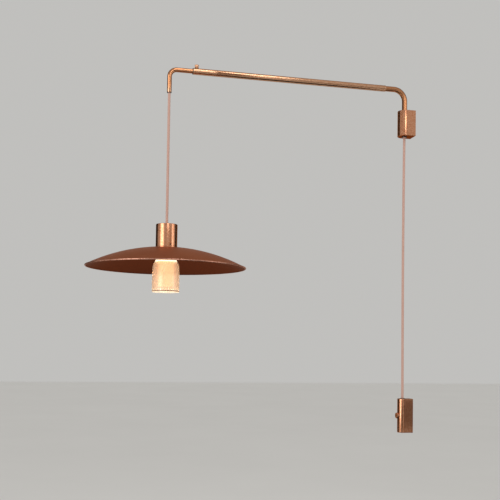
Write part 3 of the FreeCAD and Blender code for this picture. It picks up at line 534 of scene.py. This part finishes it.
def rippled_glass():
    """Warm cast glass, frosted by its ripples, lit from inside and given a painted glow of its own: a
    painted dark line just above its foot, a painted glow on the rim under it, and a painted highlight band
    at the neck.
    """
    material, tree, shader, place = new_material(
        "lit_glass", Transmission_Weight=0.85, IOR=1.48, Coat_Weight=0.25, Coat_Roughness=0.08,
        Emission_Strength=1.0)
    stretched = wire(tree, "Mapping", {"Vector": place, "Scale": (70, 70, 9)}).outputs[0]
    streak = noise(tree, stretched, 1.0, 3.0, distortion=0.8)
    clouds = placed(tree, clouding, Vector=place, Size=30.0)["Clouds"]
    height = wire(tree, "SeparateXYZ", {0: place}).outputs["Z"]
    low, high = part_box("glass")
    foot, neck = low.z, high.z - 10 * MM
    # painted dark line just above the foot: the base colour is darkened and the glow cut out there
    line = combined(tree, "MULTIPLY", ramp(tree, height, foot + 0.8 * MM, foot + 1.1 * MM),
                    ramp(tree, height, foot + 3.0 * MM, foot + 2.6 * MM))
    tone = mixed(tree, clouds, (1.0, 0.80, 0.63), (1.0, 0.88, 0.75))
    # the glass's own emission is a painted glow, over the light that passes through from the diffuser
    glow = mixed(tree, streak, (0.12, 0.066, 0.036), (0.12, 0.086, 0.056))
    glow = mixed(tree, line, glow, (0.0, 0.0, 0.0))
    # painted glow on the rim of the foot
    painted_foot_glow = ramp(tree, height, foot + 0.5 * MM, foot + 0.3 * MM)
    glow = mixed(tree, painted_foot_glow, glow, (0.55, 0.47, 0.31))
    # painted highlight: a bright band at the neck, just under the shade's near rim
    painted_neck_highlight = ramp(tree, height, neck - 4.0 * MM, neck - 2.8 * MM)
    fill(tree, shader, Base_Color=mixed(tree, line, tone, (0.20, 0.07, 0.03)),
         Roughness=ramp(tree, streak, 0.3, 0.7, 0.20, 0.32),
         Emission_Color=mixed(tree, painted_neck_highlight, glow, (0.60, 0.53, 0.40)))
    bumped(tree, shader, streak, 0.00025, 0.6)
    return material


def glowing_opal():
    """The lit diffuser: the light is strongest where the plastic is clearest."""
    material, tree, shader, place = new_material("opal_plastic", Roughness=0.4, Emission_Strength=0.7)
    clouds = placed(tree, clouding, Vector=place, Size=35.0)["Clouds"]
    tone = mixed(tree, clouds, (1.0, 0.62, 0.37), (1.0, 0.76, 0.52))
    fill(tree, shader, Base_Color=tone, Emission_Color=tone)
    bumped(tree, shader, placed(tree, pores, Vector=place, Size=900.0)["Height"], 0.00003, 0.5)
    return material


def matt(name, deep, pale, size):
    """A matt, slightly uneven surface of the stage."""
    material, tree, shader, place = new_material(name, Roughness=0.9, Specular_IOR_Level=0.1)
    clouds = placed(tree, clouding, Vector=place, Size=size)["Clouds"]
    fill(tree, shader, Base_Color=mixed(tree, clouds, deep, pale))
    return material


finishes = {
    "copper_satin": copper("copper_satin", (0.61, 0.23, 0.103), (0.52, 0.18, 0.078), (0.88, 0.50, 0.32),
                           rough=0.20, depth=2e-6, across=90.0, along=7000.0),
    "copper_tube": copper("copper_tube", (0.62, 0.29, 0.145), (0.53, 0.23, 0.105), (0.90, 0.59, 0.40),
                          rough=0.17, depth=1.5e-6, across=9000.0, along=14.0),
    "zinc_steel": plain_metal("zinc_steel", (0.62, 0.61, 0.58), (0.50, 0.50, 0.49), 0.34),
    "dark_steel": plain_metal("dark_steel", (0.08, 0.07, 0.07), (0.04, 0.036, 0.036), 0.38),
    "plain_aluminium": plain_metal("plain_aluminium", (0.72, 0.71, 0.70), (0.6, 0.6, 0.59), 0.30),
    "black_plastic": moulded("black_plastic", (0.035, 0.032, 0.031), (0.022, 0.02, 0.02), 0.45),
    "white_plastic": moulded("white_plastic", (0.80, 0.77, 0.71), (0.72, 0.68, 0.61), 0.42),
    "black_rubber": moulded("black_rubber", (0.03, 0.028, 0.028), (0.02, 0.018, 0.018), 0.7, 1200.0),
    "shade_copper": spun_copper(), "cord_textile": textile(), "lit_glass": rippled_glass(),
    "opal_plastic": glowing_opal()}


# ---------------- pieces

def piece(name, mesh, body, slot, node, sharp=40):
    """A new object that rides on a body, wears its slot's finish and stands for a CAD node."""
    if isinstance(mesh, Surface):
        mesh = mesh.mesh(name, sharp)
    thing = new_object(name, mesh)
    mesh.materials.append(finishes[slot])
    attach(thing, body)
    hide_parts(node)
    return thing


def cut_away(mesh, *tools):
    """Takes closed tool meshes away from a closed one, exactly, and fills the slits that rounding leaves."""
    body = new_object("cutting", mesh)
    spare = [body]
    for tool in tools:
        cutter = new_object("cutter", tool)
        cut = body.modifiers.new("cut", "BOOLEAN")
        cut.operation, cut.object, cut.solver = "DIFFERENCE", cutter, "EXACT"
        spare.append(cutter)
    depsgraph = bpy.context.evaluated_depsgraph_get()
    made = bpy.data.meshes.new_from_object(body.evaluated_get(depsgraph))
    for thing in spare:
        bpy.data.objects.remove(thing)
    close_up(made, fill_gaps=True)
    shade_smooth(made, 35)
    return made


def rod(radius, low, high, axis, along="z", sides=48):
    """A plain closed rod, used as a cutting tool."""
    outline = np.array([(0, low), (radius, low), (radius, high), (0, high)], float)
    return lathe(outline, None, axis, along, sides).mesh("tool")


def block(low, high):
    """A closed box, used as a cutting tool: a square ring carried up, both ends drawn to a point."""
    (x0, y0, z0), (x1, y1, z1) = low, high
    edge = np.array([(x0, y0), (x1, y0), (x1, y1), (x0, y1)])
    point = np.array([((x0 + x1) / 2, (y0 + y1) / 2)] * 4)
    levels = [(point, z0), (edge, z0), (edge, z1), (point, z1)]
    points = np.stack([np.column_stack([plan, np.full(4, z)]) for plan, z in levels], 1)
    return Surface().grid(points, wrap_rows=True).mesh("tool")


def turned(name, body, slot, node, corners, radii, axis,
           along="z", sides=72, steps=6, ripple=None, cuts=()):
    """A piece whose rounded outline is carried round an axis, and cut where it has holes."""
    outline, worn = rounded(corners, radii, steps)
    shape = lathe(outline, worn, axis, along, sides, ripple)
    piece(name, cut_away(shape.mesh(name), *cuts) if cuts else shape, body, slot, node)


def cord_bush(name, body, node, axis, flange=None, shank=4.44, mouth=(0.5, 0.5), soft=0.25, sides=56,
              flange_up=False):
    """A cord bush: a flange with a soft edge, a countersunk mouth and the shank in the hole."""
    low, high, radius = box(node)
    flange, lip, (wide, deep) = flange or radius, 1, mouth
    corners = [(CORD_BORE, low.z + deep), (CORD_BORE + wide, low.z), (flange, low.z), (flange, low.z + lip),
               (shank, low.z + lip), (shank, high.z), (CORD_BORE, high.z)]
    if flange_up:
        corners = [(radius, low.z + high.z - z) for radius, z in reversed(corners)]
    turned(name, body, "black_plastic", node, corners, soft, axis, sides=sides)


def socket_screw(name, node):
    """A headless screw: a bevelled rod with a hexagon socket in its foot."""
    low, high, radius = box(node)
    at = middle(node)
    flat, bevel, deep = radius * 0.5, 0.3, 1.5
    outline = np.array([(0, low.z + deep), (flat, low.z + deep), (flat, low.z), (radius - bevel, low.z),
                        (radius, low.z + bevel), (radius, high.z), (0, high.z)])

    def socket(t, radius, height):
        return np.where(np.isclose(radius, flat), hexagon(t, flat), radius)
    shape = lathe(outline, None, (at.x, at.y, 0), sides=48, ripple=socket)
    piece(name, shape, "root", "dark_steel", node, sharp=30)


# ---------------- cords

def route_line(name, route):
    """The smooth line of a route: a spline with the route's points as its control points."""
    curve = bpy.data.curves.new(name, "CURVE")
    curve.dimensions = "3D"
    curve.resolution_u = 24
    spline = curve.splines.new("NURBS")
    spline.points.add(len(route) - 1)
    spline.points.foreach_set("co", np.column_stack([route, np.ones(len(route))]).ravel())
    spline.order_u = 3
    spline.use_endpoint_u = True
    holder = new_object(name, curve)
    line = bpy.data.meshes.new_from_object(holder)
    points = np.zeros(len(line.vertices) * 3)
    line.vertices.foreach_get("co", points)
    bpy.data.objects.remove(holder)
    return points.reshape(-1, 3)


def braided(name, line, radius, step):
    """A braided sleeve on a line: two sets of n strands wind opposite ways and pass over and under.

    At turn t and run s their phases are a = n t + 2 pi s / lay and b = n t - 2 pi s / lay. The skin
    stands out by half of 1 + sin a sin b; the first set is on top where cos a cos b is above zero.
    The depth values are painted shade: low between the strands, and a strand is painted darker the
    smaller the cosine of half its own phase.
    """
    lay, strands, sides, relief_depth, end_tone = 0.0042, 8, 48, 0.045, 0.2
    runs = join([0], np.cumsum(lengths(np.diff(line, axis=0))))
    s = spread(0, runs[-1], int(runs[-1] / step))
    centre = np.stack([np.interp(s, runs, line[:, i]) for i in range(3)], -1)
    ahead = np.gradient(centre, axis=0)
    ahead /= lengths(ahead)[:, None]
    first = np.cross(ahead, np.array([1.0, 0.0, 0.0]))
    first /= lengths(first)[:, None]
    second = np.cross(ahead, first)
    t = full_turn(sides).T
    a, b = strands * t + TURN * s[:, None] / lay, strands * t - TURN * s[:, None] / lay
    over = np.cos(a) * np.cos(b) > 0
    top = np.where(over, np.abs(np.cos(a / 2)), np.abs(np.cos(b / 2)))
    relief = 0.5 + 0.5 * np.sin(a) * np.sin(b)
    r = radius * (1 - relief_depth + relief_depth * relief)
    across = first[:, None] * np.cos(t)[:, :, None] + second[:, None] * np.sin(t)[:, :, None]
    points = join(np.repeat(centre[:1, None], sides, 1), centre[:, None] + across * r[:, :, None],
                  np.repeat(centre[-1:, None], sides, 1))
    faces = grid_faces(len(points), sides, False, True)[:, ::-1]
    mesh = bpy.data.meshes.new(name)
    mesh.from_pydata(points.reshape(-1, 3).tolist(), [], faces.tolist())
    ends = np.full((1, sides), end_tone)
    point_values(mesh, "thread", join(ends, over, ends))
    # depth carries painted shade: darker between the strands and away from each strand's crest
    point_values(mesh, "depth", join(ends, relief * (0.6 + 0.4 * top), ends))
    close_up(mesh, turn_out=True)
    shade_smooth(mesh, 60)
    return mesh


def cords():
    """The cord down the wall, drawn tight but not dead straight, and the one that carries the shade."""
    cord_low, cord_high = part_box("pendant_cord")
    thick = cord_high.x - cord_low.x
    low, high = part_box("wall_cord")
    y, bow = centre_of("bracket_gland").y, 1.2 * MM
    wall_route = [(0, y, high.z), (0, y - bow * 0.5, high.z - 0.10), (0, y - bow, high.z - 0.29),
                  (0, y - bow * 0.4, high.z - 0.50), (0, y, low.z)]
    line = route_line("wall_route", wall_route)
    on_wall = piece("cord_on_wall", braided("cord_on_wall", line, thick / 2, 0.0006), "root",
                    "cord_textile", "wall_cord")
    top, long = (0, centre_of("pendant_cord").y, cord_high.z), cord_high.z - cord_low.z
    line = route_line("pendant_route", [top, (*top[:2], cord_low.z)])
    below_arm = piece("cord_below_arm", braided("cord_below_arm", line, thick / 2, 0.00045), "tip_arm",
                      "cord_textile", "pendant_cord")
    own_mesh(below_arm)


# ---------------- carried-over pieces

def carried_over():
    """Gives every CAD node that stays its slot's finish."""
    slots = {part["node"]: part["material_slot"] for part in frame["record"]["subparts"]}
    for name, thing in frame["nodes"].items():
        if not thing.material_slots:
            thing.data.materials.append(None)
        for slot in thing.material_slots:
            slot.material = finishes[slots[name]]


# ---------------- wall bracket and lower box

def front_plan(radius, turns=56):
    """A wall housing's plan: flat back, straight sides and a half-round front."""
    a = spread(math.pi, TURN, turns)
    arc = np.stack([radius * np.cos(a), SWIVEL_Y + radius * np.sin(a)], -1)
    right = np.stack([np.full(8, radius), spread(SWIVEL_Y, 0, 9)[1:]], -1)
    back = np.stack([spread(radius, -radius, 14)[1:-1], np.zeros(12)], -1)
    return join(arc, right, back, right[::-1] * (-1, 1))


def housing_mesh(name, node):
    """The plan carried up, its ends rounded by drawing the plan in along a quarter circle."""
    low, high, radius = box(node)
    over = spread(0, math.pi / 2, 7)
    rising, easing = HOUSING_EDGE * (1 - np.sin(over)), HOUSING_EDGE * (1 - np.cos(over))
    plans = [front_plan(radius - inset) for inset in (*rising, *easing)]
    centre, shares = np.array([0.0, SWIVEL_Y * 0.6]), spread(0, 0.98, 10)
    foot = [centre + (plans[0] - centre) * share for share in shares]
    head = [centre + (plans[-1] - centre) * share for share in shares[::-1]]
    plans = np.array(foot + plans + head)
    z = join(np.full(10, low.z), low.z + easing, high.z - rising, np.full(10, high.z))
    z = np.broadcast_to(z[:, None], plans.shape[:2])
    points = np.stack([plans[..., 0], plans[..., 1], z], -1)
    worn = join(np.zeros(9), [0.4], np.ones(14), [0.4], np.zeros(9))
    return Surface().grid(points.transpose(1, 0, 2), wrap_rows=True, worn=worn).mesh(name)


def hollow(node, wall, deep):
    """The room inside a housing, open towards the wall, as a cutting tool."""
    low, high, radius = box(node)
    side = radius - wall
    return block((-side, -deep, low.z + wall), (side, 2, high.z - wall))


def screw_hole(node, wall, screw):
    """The bore of a set screw through a housing's foot, as a cutting tool."""
    foot = box(node)[0].z
    return rod(SCREW_BORE, foot - 2, foot + wall + 1, (0, middle(screw).y, 0))


def wall_bracket():
    """The bracket's housing, bored for the swivel and the cord, with its collar, bush and screw."""
    node, wall, deep = "bracket_housing", 4, 9
    low, high, _ = box(node)
    bush_low, bush_high, bush = box("swivel_bush_top")
    mesh = cut_away(housing_mesh("bracket_housing_shell", node),
                    rod(bush + 0.06, low.z + 6, high.z + 2, SWIVEL, sides=64),
                    rod(SHANK_HOLE, low.z - 2, low.z + 8, SWIVEL),
                    hollow(node, wall, deep), screw_hole(node, wall, "bracket_set_screw"))
    piece("bracket_housing_shell", mesh, "root", "copper_satin", node)
    turned("swivel_collar", "root", "black_plastic", "swivel_bush_top",
           ring(TUBE_BORE, bush, bush_low.z, bush_high.z), 0.3, SWIVEL)
    cord_bush("bracket_cord_gland", "root", "bracket_gland", SWIVEL)
    socket_screw("bracket_grub_screw", "bracket_set_screw")


def switch_box():
    """The lower box's housing, bored for the cord and the knob, with its bush and screw."""
    node, wall, deep = "switch_housing", 3, 25
    low, high, _ = box(node)
    front, seat, spindle_hole = -low.y, box("dimmer_knob")[2] + 0.3, 3.56
    mesh = cut_away(housing_mesh("switch_housing_shell", node),
                    rod(SHANK_HOLE, high.z - wall - 1, high.z + 2, SWIVEL), hollow(node, wall, deep),
                    rod(seat, front - 2.5, front + 3, KNOB, "-y", 64),
                    rod(spindle_hole, deep - 1, front + 2, KNOB, "-y"),
                    screw_hole(node, wall, "switch_set_screw"))
    piece("switch_housing_shell", mesh, "root", "copper_satin", node)
    cord_bush("switch_cord_gland", "root", "switch_gland", SWIVEL, flange_up=True)
    socket_screw("switch_grub_screw", "switch_set_screw")


def knob():
    """A turned knob: fine flutes round the rim, a soft dished face and a small index dimple.

    At turn t a flute draws the rim in by its depth times (0.5 + 0.5 cos 30 t) squared.
    """
    low, high, rim = box("dimmer_knob")
    back, face = -high.y, -low.y
    skirt, floor, dish, flute = rim - 1.1, back + 3, face - 0.35, 0.32
    corners = [(0, floor), (skirt, floor), (skirt, back), (rim, back), (rim, face - 0.2), (rim - 1.0, face),
               (rim * 0.62, face), (rim * 0.5, dish), (0, dish)]
    radii = [0, 0.2, 0.1, 0.1, 0.3, 0.3, 0.3, 0.3, 0]

    def fluted(t, radius, height):
        edge = np.clip((radius - (rim - 0.5)) / 0.5, 0, 1)
        level = np.clip((height - back - 1.2) / 0.4, 0, 1)
        return radius - flute * edge * level * (0.5 + 0.5 * np.cos(30 * t)) ** 2
    dimple = rod(0.55, face - 0.4, face + 1, (0, 0, KNOB[2] + rim * 0.8), "-y", 20)
    turned("dimmer_knob_turned", "dimmer_knob", "copper_satin", "dimmer_knob", corners, radii, KNOB,
           "-y", sides=240, steps=5, ripple=fluted, cuts=[dimple])


# ---------------- arm

def arm():
    """The two bent tubes, the wall tube from its foot and the tip tube from its mouth, and their bush."""
    for name, body, node, foot_y, end_y, bend in (
            ("wall_tube_bent", "swing_arm", "wall_tube", SWIVEL_Y, box("wall_tube")[0].y, 27),
            ("tip_tube_bent", "tip_arm", "tip_tube", TIP_Y, box("tip_tube")[1].y, 16)):
        low, _, outside = box(node)
        line = elbow(foot_y, low.z, end_y, bend)
        piece(name, bent_tube(line, outside), body, "copper_tube", node)
    cord_bush("tip_cord_bush", "tip_arm", "tip_bush", PENDANT, flange=5, shank=3.94, mouth=(0.3, 0.4),
              soft=0.2, sides=48)


def sleeve():
    """The thick tube with softened ends, and on its crown the boss that carries the lock screw.

    The boss's foot follows the sleeve: its height over the axis is the root of R squared less x squared.
    """
    low, high, outside = box("sleeve_tube")
    near, far = -high.y, -low.y
    outline, worn = rounded(ring(TUBE_BORE, outside, near, far), [0.2, 0.6, 0.6, 0.2])
    surface = lathe(outline, worn, ARM, "-y", 64)
    radius = np.array([5.0, 4.55, 4.2, 4.05, 4.0, 4.0, 3.9, 3.6, 2.3, 2.06, 2.06])
    rise = np.array([-0.06, 0.02, 0.16, 0.4, 0.8, 1.4, 1.8, 2.0, 2.0, 1.8, -1.2])
    worn = np.array([0, 0, 0, 0, 0, 0.5, 1, 1, 1, 0.5, 0])
    t = full_turn(48)
    x, y = radius * np.cos(t), radius * np.sin(t)
    saddle = np.sqrt(outside ** 2 - x ** 2) - outside
    share = np.clip(1 - rise / 1.4, 0, 1)
    z = np.minimum(outside + rise + saddle * share, high.z - ARM_Z)
    points = np.stack([x, y + middle("lock_screw").y, z + ARM_Z], -1)
    surface.grid(points, wrap_rows=True, worn=worn)
    piece("sleeve_with_boss", surface, "swing_arm", "copper_tube", "sleeve_tube")
    low, high, lip = box("guide_bush")
    near, far = -high.y, -low.y
    bore, body, seat = 5.08, 6.02, far - 1.2
    corners = [(bore, near), (body, near), (body, seat), (lip, seat), (lip, far), (bore, far)]
    turned("guide_bush_ring", "swing_arm", "black_plastic", "guide_bush", corners,
           [0.1, 0.1, 0.05, 0.3, 0.5, 0.3], ARM, "-y", sides=56)


def lock_screw():
    """A thumb screw: a knurled head with bevelled rims on a plain shank.

    At turn t the knurl draws the rim in by its depth times (0.5 + 0.5 cos 28 t).
    """
    low, high, _ = box("lock_screw")
    rim, shank, seat, dish, knurl = 4.5, 2, high.z - 5, high.z - 0.4, 0.28
    corners = [(0, low.z), (shank, low.z), (shank, seat), (rim - 0.5, seat), (rim, seat + 0.5),
               (rim, high.z - 0.6), (rim - 0.6, high.z), (rim * 0.55, high.z), (rim * 0.45, dish), (0, dish)]
    radii = [0, 0.1, 0.1, 0.15, 0.15, 0.15, 0.15, 0.15, 0.15, 0]

    def knurled(t, radius, height):
        edge = np.clip((radius - (rim - 0.4)) / 0.4, 0, 1)
        return radius - knurl * edge * (0.5 + 0.5 * np.cos(28 * t))
    turned("lock_screw_knurled", "lock_screw", "copper_tube", "lock_screw", corners, radii,
           (0, middle("lock_screw").y, 0), sides=224, steps=4, ripple=knurled)


# ---------------- pendant

def outward(radius, run, t, angle, height):
    """Points at a radius and turn t round a level line that leaves the pendant's axis at an angle."""
    aside, up = radius * np.cos(t), radius * np.sin(t)
    c, s = math.cos(angle), math.sin(angle)
    return np.stack([run * c - aside * s, run * s + aside * c + TIP_Y, up + height], -1)


def outward_rod(radius, near, far, angle, height, sides=32):
    """A closed rod that points out from the pendant's axis, used as a cutting tool."""
    radii, run = np.array([0, radius, radius, 0]), np.array([near, near, far, far])
    points = outward(radii, run, full_turn(sides), angle, height)
    return Surface().grid(points, wrap_rows=True).mesh("tool")


def grub_screw(surface, angle, height, side, sides=36):
    """A headless screw with a hexagon socket, its outer end just inside the cap's side."""
    t, flat, end = full_turn(sides), 0.75, side - 0.35
    radius = np.array([0, 1.5, 1.5, 1.25, flat, flat, 0])
    run = end - np.array([5.5, 5.5, 0.25, 0, 0, 1.4, 1.4])
    radius = np.where(np.isclose(radius, flat), hexagon(t, flat), radius)
    surface.grid(outward(radius, run, t, angle, height), wrap_rows=True)


def cap():
    """A drawn cap: rounded top edge, a fine turned line above its foot and three socket screws."""
    low, high, _ = box("lamp_cap")
    side, inner, bore, roof, line = 23.5, 22, 4.26, high.z - 3, CAP_FOOT + 3
    corners = [(bore, high.z), (bore, roof), (inner, roof), (inner, low.z), (side, low.z),
               (side, line - 0.3), (side - 0.25, line), (side, line + 0.3), (side, high.z)]
    radii = [0.2, 0, 0.5, 0.1, 0.3, 0.1, 0, 0.1, 1.1]
    places = [(math.radians(14 + 120 * i), CAP_FOOT + 6) for i in range(3)]
    turned("lamp_cap_drawn", "pendant", "copper_satin", "lamp_cap", corners, radii, PENDANT,
           sides=128, steps=8, cuts=[outward_rod(SCREW_BORE, 19, 26, *place) for place in places])
    screws = Surface()
    for place in places:
        grub_screw(screws, *place, side)
    piece("cap_grub_screws", screws, "pendant", "dark_steel", "cap_screws", sharp=30)
    low, high, _ = box("cord_grip")
    bore, shank, head, shoulder = 3.06, 4.2, 5, high.z - 3
    corners = [(bore, low.z), (shank, low.z), (shank, shoulder), (head, shoulder), (head, high.z - 0.9),
               (4.1, high.z), (3.5, high.z), (bore, high.z - 0.5)]
    turned("cord_grip_turned", "pendant", "copper_satin", "cord_grip", corners,
           [0, 0, 0.1, 0.2, 0.5, 0.4, 0.2, 0.1], PENDANT, sides=56)


def shade():
    """A spun dome: two arcs of one centre from the middle hole to a rolled bead round the rim.

    At radius r the outer face is the root of R squared less r squared above the ball's centre.
    """
    low, _, rim = box("shade")
    hem, sheet, hole, seat = 1.4, 1.5, 15, 23.5
    edge, bead_z = rim - hem, low.z + hem
    rise = CAP_FOOT - low.z - hem - sheet / 2
    drop = (edge ** 2 - seat ** 2 + rise ** 2) / (2 * rise)
    ball, centre_z = math.hypot(seat, drop), CAP_FOOT - drop
    mid, inside = ball - sheet / 2, ball - sheet
    a = spread(math.asin(hole / mid), math.asin((edge - hem * 0.35) / mid), 90)
    inner = np.stack([inside * np.sin(a), centre_z + inside * np.cos(a)], -1)[::-1]
    outer = np.stack([ball * np.sin(a), centre_z + ball * np.cos(a)], -1)
    first = math.atan2(outer[-1, 1] - bead_z, outer[-1, 0] - edge)
    last = math.atan2(inner[0, 1] - bead_z, inner[0, 0] - edge)
    over = spread(first, last - (TURN if last > first else 0), 26)[1:-1]
    bead = np.stack([edge + hem * np.cos(over), bead_z + hem * np.sin(over)], -1)
    outline = join(outer, bead, inner)[::-1]
    worn = join(np.zeros(len(outer)), np.ones(len(bead)), np.zeros(len(inner)))[::-1]
    mesh = lathe(outline, worn, PENDANT, sides=192).mesh("shade_spun", 50)
    points = np.zeros(len(mesh.vertices) * 3)
    mesh.vertices.foreach_get("co", points)
    from_centre = points.reshape(-1, 3) / MM - (0, TIP_Y, centre_z)
    point_values(mesh, "within", lengths(from_centre) < mid)
    piece("shade_spun", mesh, "pendant", "shade_copper", "shade")
    low, high, outside = box("ring_nut")
    turned("ring_nut_turned", "pendant", "plain_aluminium", "ring_nut",
           ring(14.8, outside, low.z, high.z), 0.4, PENDANT, sides=96)


def glass():
    """The cast glass cup, mouth up: a straight wall that draws in at its shoulder, a thick clear foot.

    Its outside and bore wander by slow waves, cosines of the turn t and the height, as cast glass does.
    """
    low, high, _ = box("glass")
    foot, brow, mouth, wall, floor = 30, 28.5, 23, 3, low.z + 5
    neck_foot = high.z - 10
    brow_foot = neck_foot - 9
    full = brow_foot - 23
    corners = [(0, low.z), (foot, low.z), (foot, full), (brow, brow_foot), (mouth, neck_foot),
               (mouth, high.z), (mouth - wall, high.z), (mouth - wall, neck_foot),
               (brow - wall, brow_foot), (foot - wall, full), (foot - wall, floor), (0, floor)]
    outline, _ = rounded(corners, [0, 1.6, 40, 14, 3.5, 0.8, 0.6, 3, 12, 40, 2.5, 0], 8)
    ends = np.roll(outline, -1, 0)
    counts = np.maximum(2, (lengths(ends - outline) / 1.2).astype(int) + 1)
    outline = join(*(a + (b - a) * spread(0, 1, count)[:-1, None]
                     for a, b, count in zip(outline, ends, counts)))

    def wandering(t, radius, height):
        share, depth = np.clip(radius / 20, 0, 1), 0.05
        wave = np.cos(9 * t + 0.05 * height) + 0.7 * np.cos(14 * t - 0.09 * height + 1.0)
        wave = wave + 0.5 * np.cos(0.35 * height + 3 * t)
        return radius - share * depth * (wave + 2.2)
    surface = lathe(outline, None, PENDANT, sides=168, ripple=wandering)
    piece("glass_cast", surface, "pendant", "lit_glass", "glass", sharp=60)
    low, high, side = box("opal_tube")
    wall = 1.5
    corners = [(0, low.z), (side, low.z), (side, high.z), (side - wall, high.z), (side - wall, low.z + wall),
               (0, low.z + wall)]
    turned("opal_tube_moulded", "pendant", "opal_plastic", "opal_tube", corners, [0, 4, 0.3, 0.3, 3, 0],
           PENDANT, sides=96, steps=8)


# ---------------- floor and light

def staged(name, mesh, material):
    """An object of the stage."""
    mesh.materials.append(material)
    thing = new_object(name, mesh)
    return thing


def floor():
    size, drop = 14.0 / MM, -1.25 / MM
    points = np.stack(np.meshgrid(*[spread(-size, size, 3)] * 2, indexing="ij"), -1)
    points = np.concatenate([points, np.full((3, 3, 1), drop)], -1)
    pale = matt("pale_floor", (0.67, 0.665, 0.65), (0.69, 0.685, 0.67), 1.2)
    staged("floor", Surface().grid(points).mesh("floor"), pale)


def cards():
    """Cards that only polished metal mirrors: dark for its dark edges, paler to calm a band."""
    warm_deep, warm_pale = np.array([0.95, 0.85, 0.80]), np.array([1.1, 1.0, 0.95])
    dark, grey, pale = (matt(name, tuple(tone * warm_deep), tuple(tone * warm_pale), 2.0)
                        for name, tone in (("dark_card", 0.032), ("grey_card", 0.20), ("pale_card", 0.36)))
    foot, head = -1.2, 1.6
    upright = [("left_card", (-0.3, -1.3), (-2.6, -1.45), foot, head, dark),
               ("right_card", (-0.05, 0.6), (-1.8, 1.65), foot, head, dark),
               ("front_card", (2.25, 0.35), (1.75, 1.45), foot, -0.4, grey),
               ("near_card", (2.0, -0.4), (1.45, -1.4), foot, -0.62, dark),
               ("bracket_card", (0.32, -0.35), (0.08, -0.47), -0.1, 0.25, pale)]
    shown = [(name, [(*a, low), (*b, low), (*b, high), (*a, high)], tone)
             for name, a, b, low, high, tone in upright]
    level = [(-0.45, -0.9, foot), (0.9, -0.9, foot), (0.9, 0.6, foot), (-0.45, 0.6, foot)]
    for name, corners, tone in (*shown, ("low_card", level, dark)):
        mesh = bpy.data.meshes.new(name)
        mesh.from_pydata(corners, [], [(0, 1, 2, 3)])
        card = staged(name, mesh, tone)
        card.visible_camera = card.visible_diffuse = card.visible_shadow = card.visible_transmission = False


def sky():
    """A plain grey where it is seen or mirrored, and a brighter one where it lights a matt surface."""
    world = bpy.data.worlds.new("sky")
    world.use_nodes = True
    tree = world.node_tree
    seen_grey = tree.nodes["Background"]
    fill(tree, seen_grey, Color=(0.53, 0.525, 0.51))
    lighting = wire(tree, "Background", {"Color": (0.72, 0.71, 0.69), "Strength": 1.0})
    ray = wire(tree, "LightPath").outputs
    seen = combined(tree, "MAXIMUM", ray["Is Camera Ray"], ray["Is Glossy Ray"])
    seen = combined(tree, "MAXIMUM", seen, ray["Is Transmission Ray"])
    both = wire(tree, "MixShader", {0: seen, 1: lighting.outputs[0], 2: seen_grey.outputs[0]})
    fill(tree, tree.nodes["World Output"], Surface=both.outputs[0])
    scene.world = world


def studio():
    """A pale floor, cards, a plain sky and four soft boxes, each placed for the band of light it gives.

    A box that only shines within a cone is brighter straight ahead by tan a / (tan a - a), a half the
    cone, so its energy, radiance times pi times its area, is divided by that.
    """
    floor()
    sky()
    cards()
    boxes = [("left_box", (1.25, -2.45, 0.02), (0, -0.5, -0.2), (1.4, 2.15), 2.9),
             ("bracket_strip", (3.9, -0.05, 1.1), (0, 0, 0), (1.2, 0.7), 4.2),
             ("wall_side_box", (0.94, 1.19, -0.03), (0, -0.55, -0.3), (0.8, 1.6), 1.3),
             ("top_box", (1.4, -0.2, 1.8), (0, -0.4, 0.0), (0.9, 0.8), 4.5)]
    cone = math.radians(110)
    ahead = math.tan(cone / 2) / (math.tan(cone / 2) - cone / 2)
    for name, at, aim, (wide, high), radiance in boxes:
        data = bpy.data.lights.new(name, "AREA")
        data.shape, data.size, data.size_y = "RECTANGLE", wide, high
        data.energy = radiance * math.pi * wide * high / ahead
        data.color = (1.0, 0.97, 0.93)
        data.spread = cone
        lamp = new_object(name, data)
        lamp.location = at
        lamp.rotation_euler = (Vector(aim) - Vector(at)).to_track_quat("-Z", "Y").to_euler()
    scene.view_settings.view_transform = "Standard"


camera()
cords()
carried_over()
wall_bracket()
switch_box()
knob()
arm()
sleeve()
lock_screw()
cap()
shade()
glass()
studio()
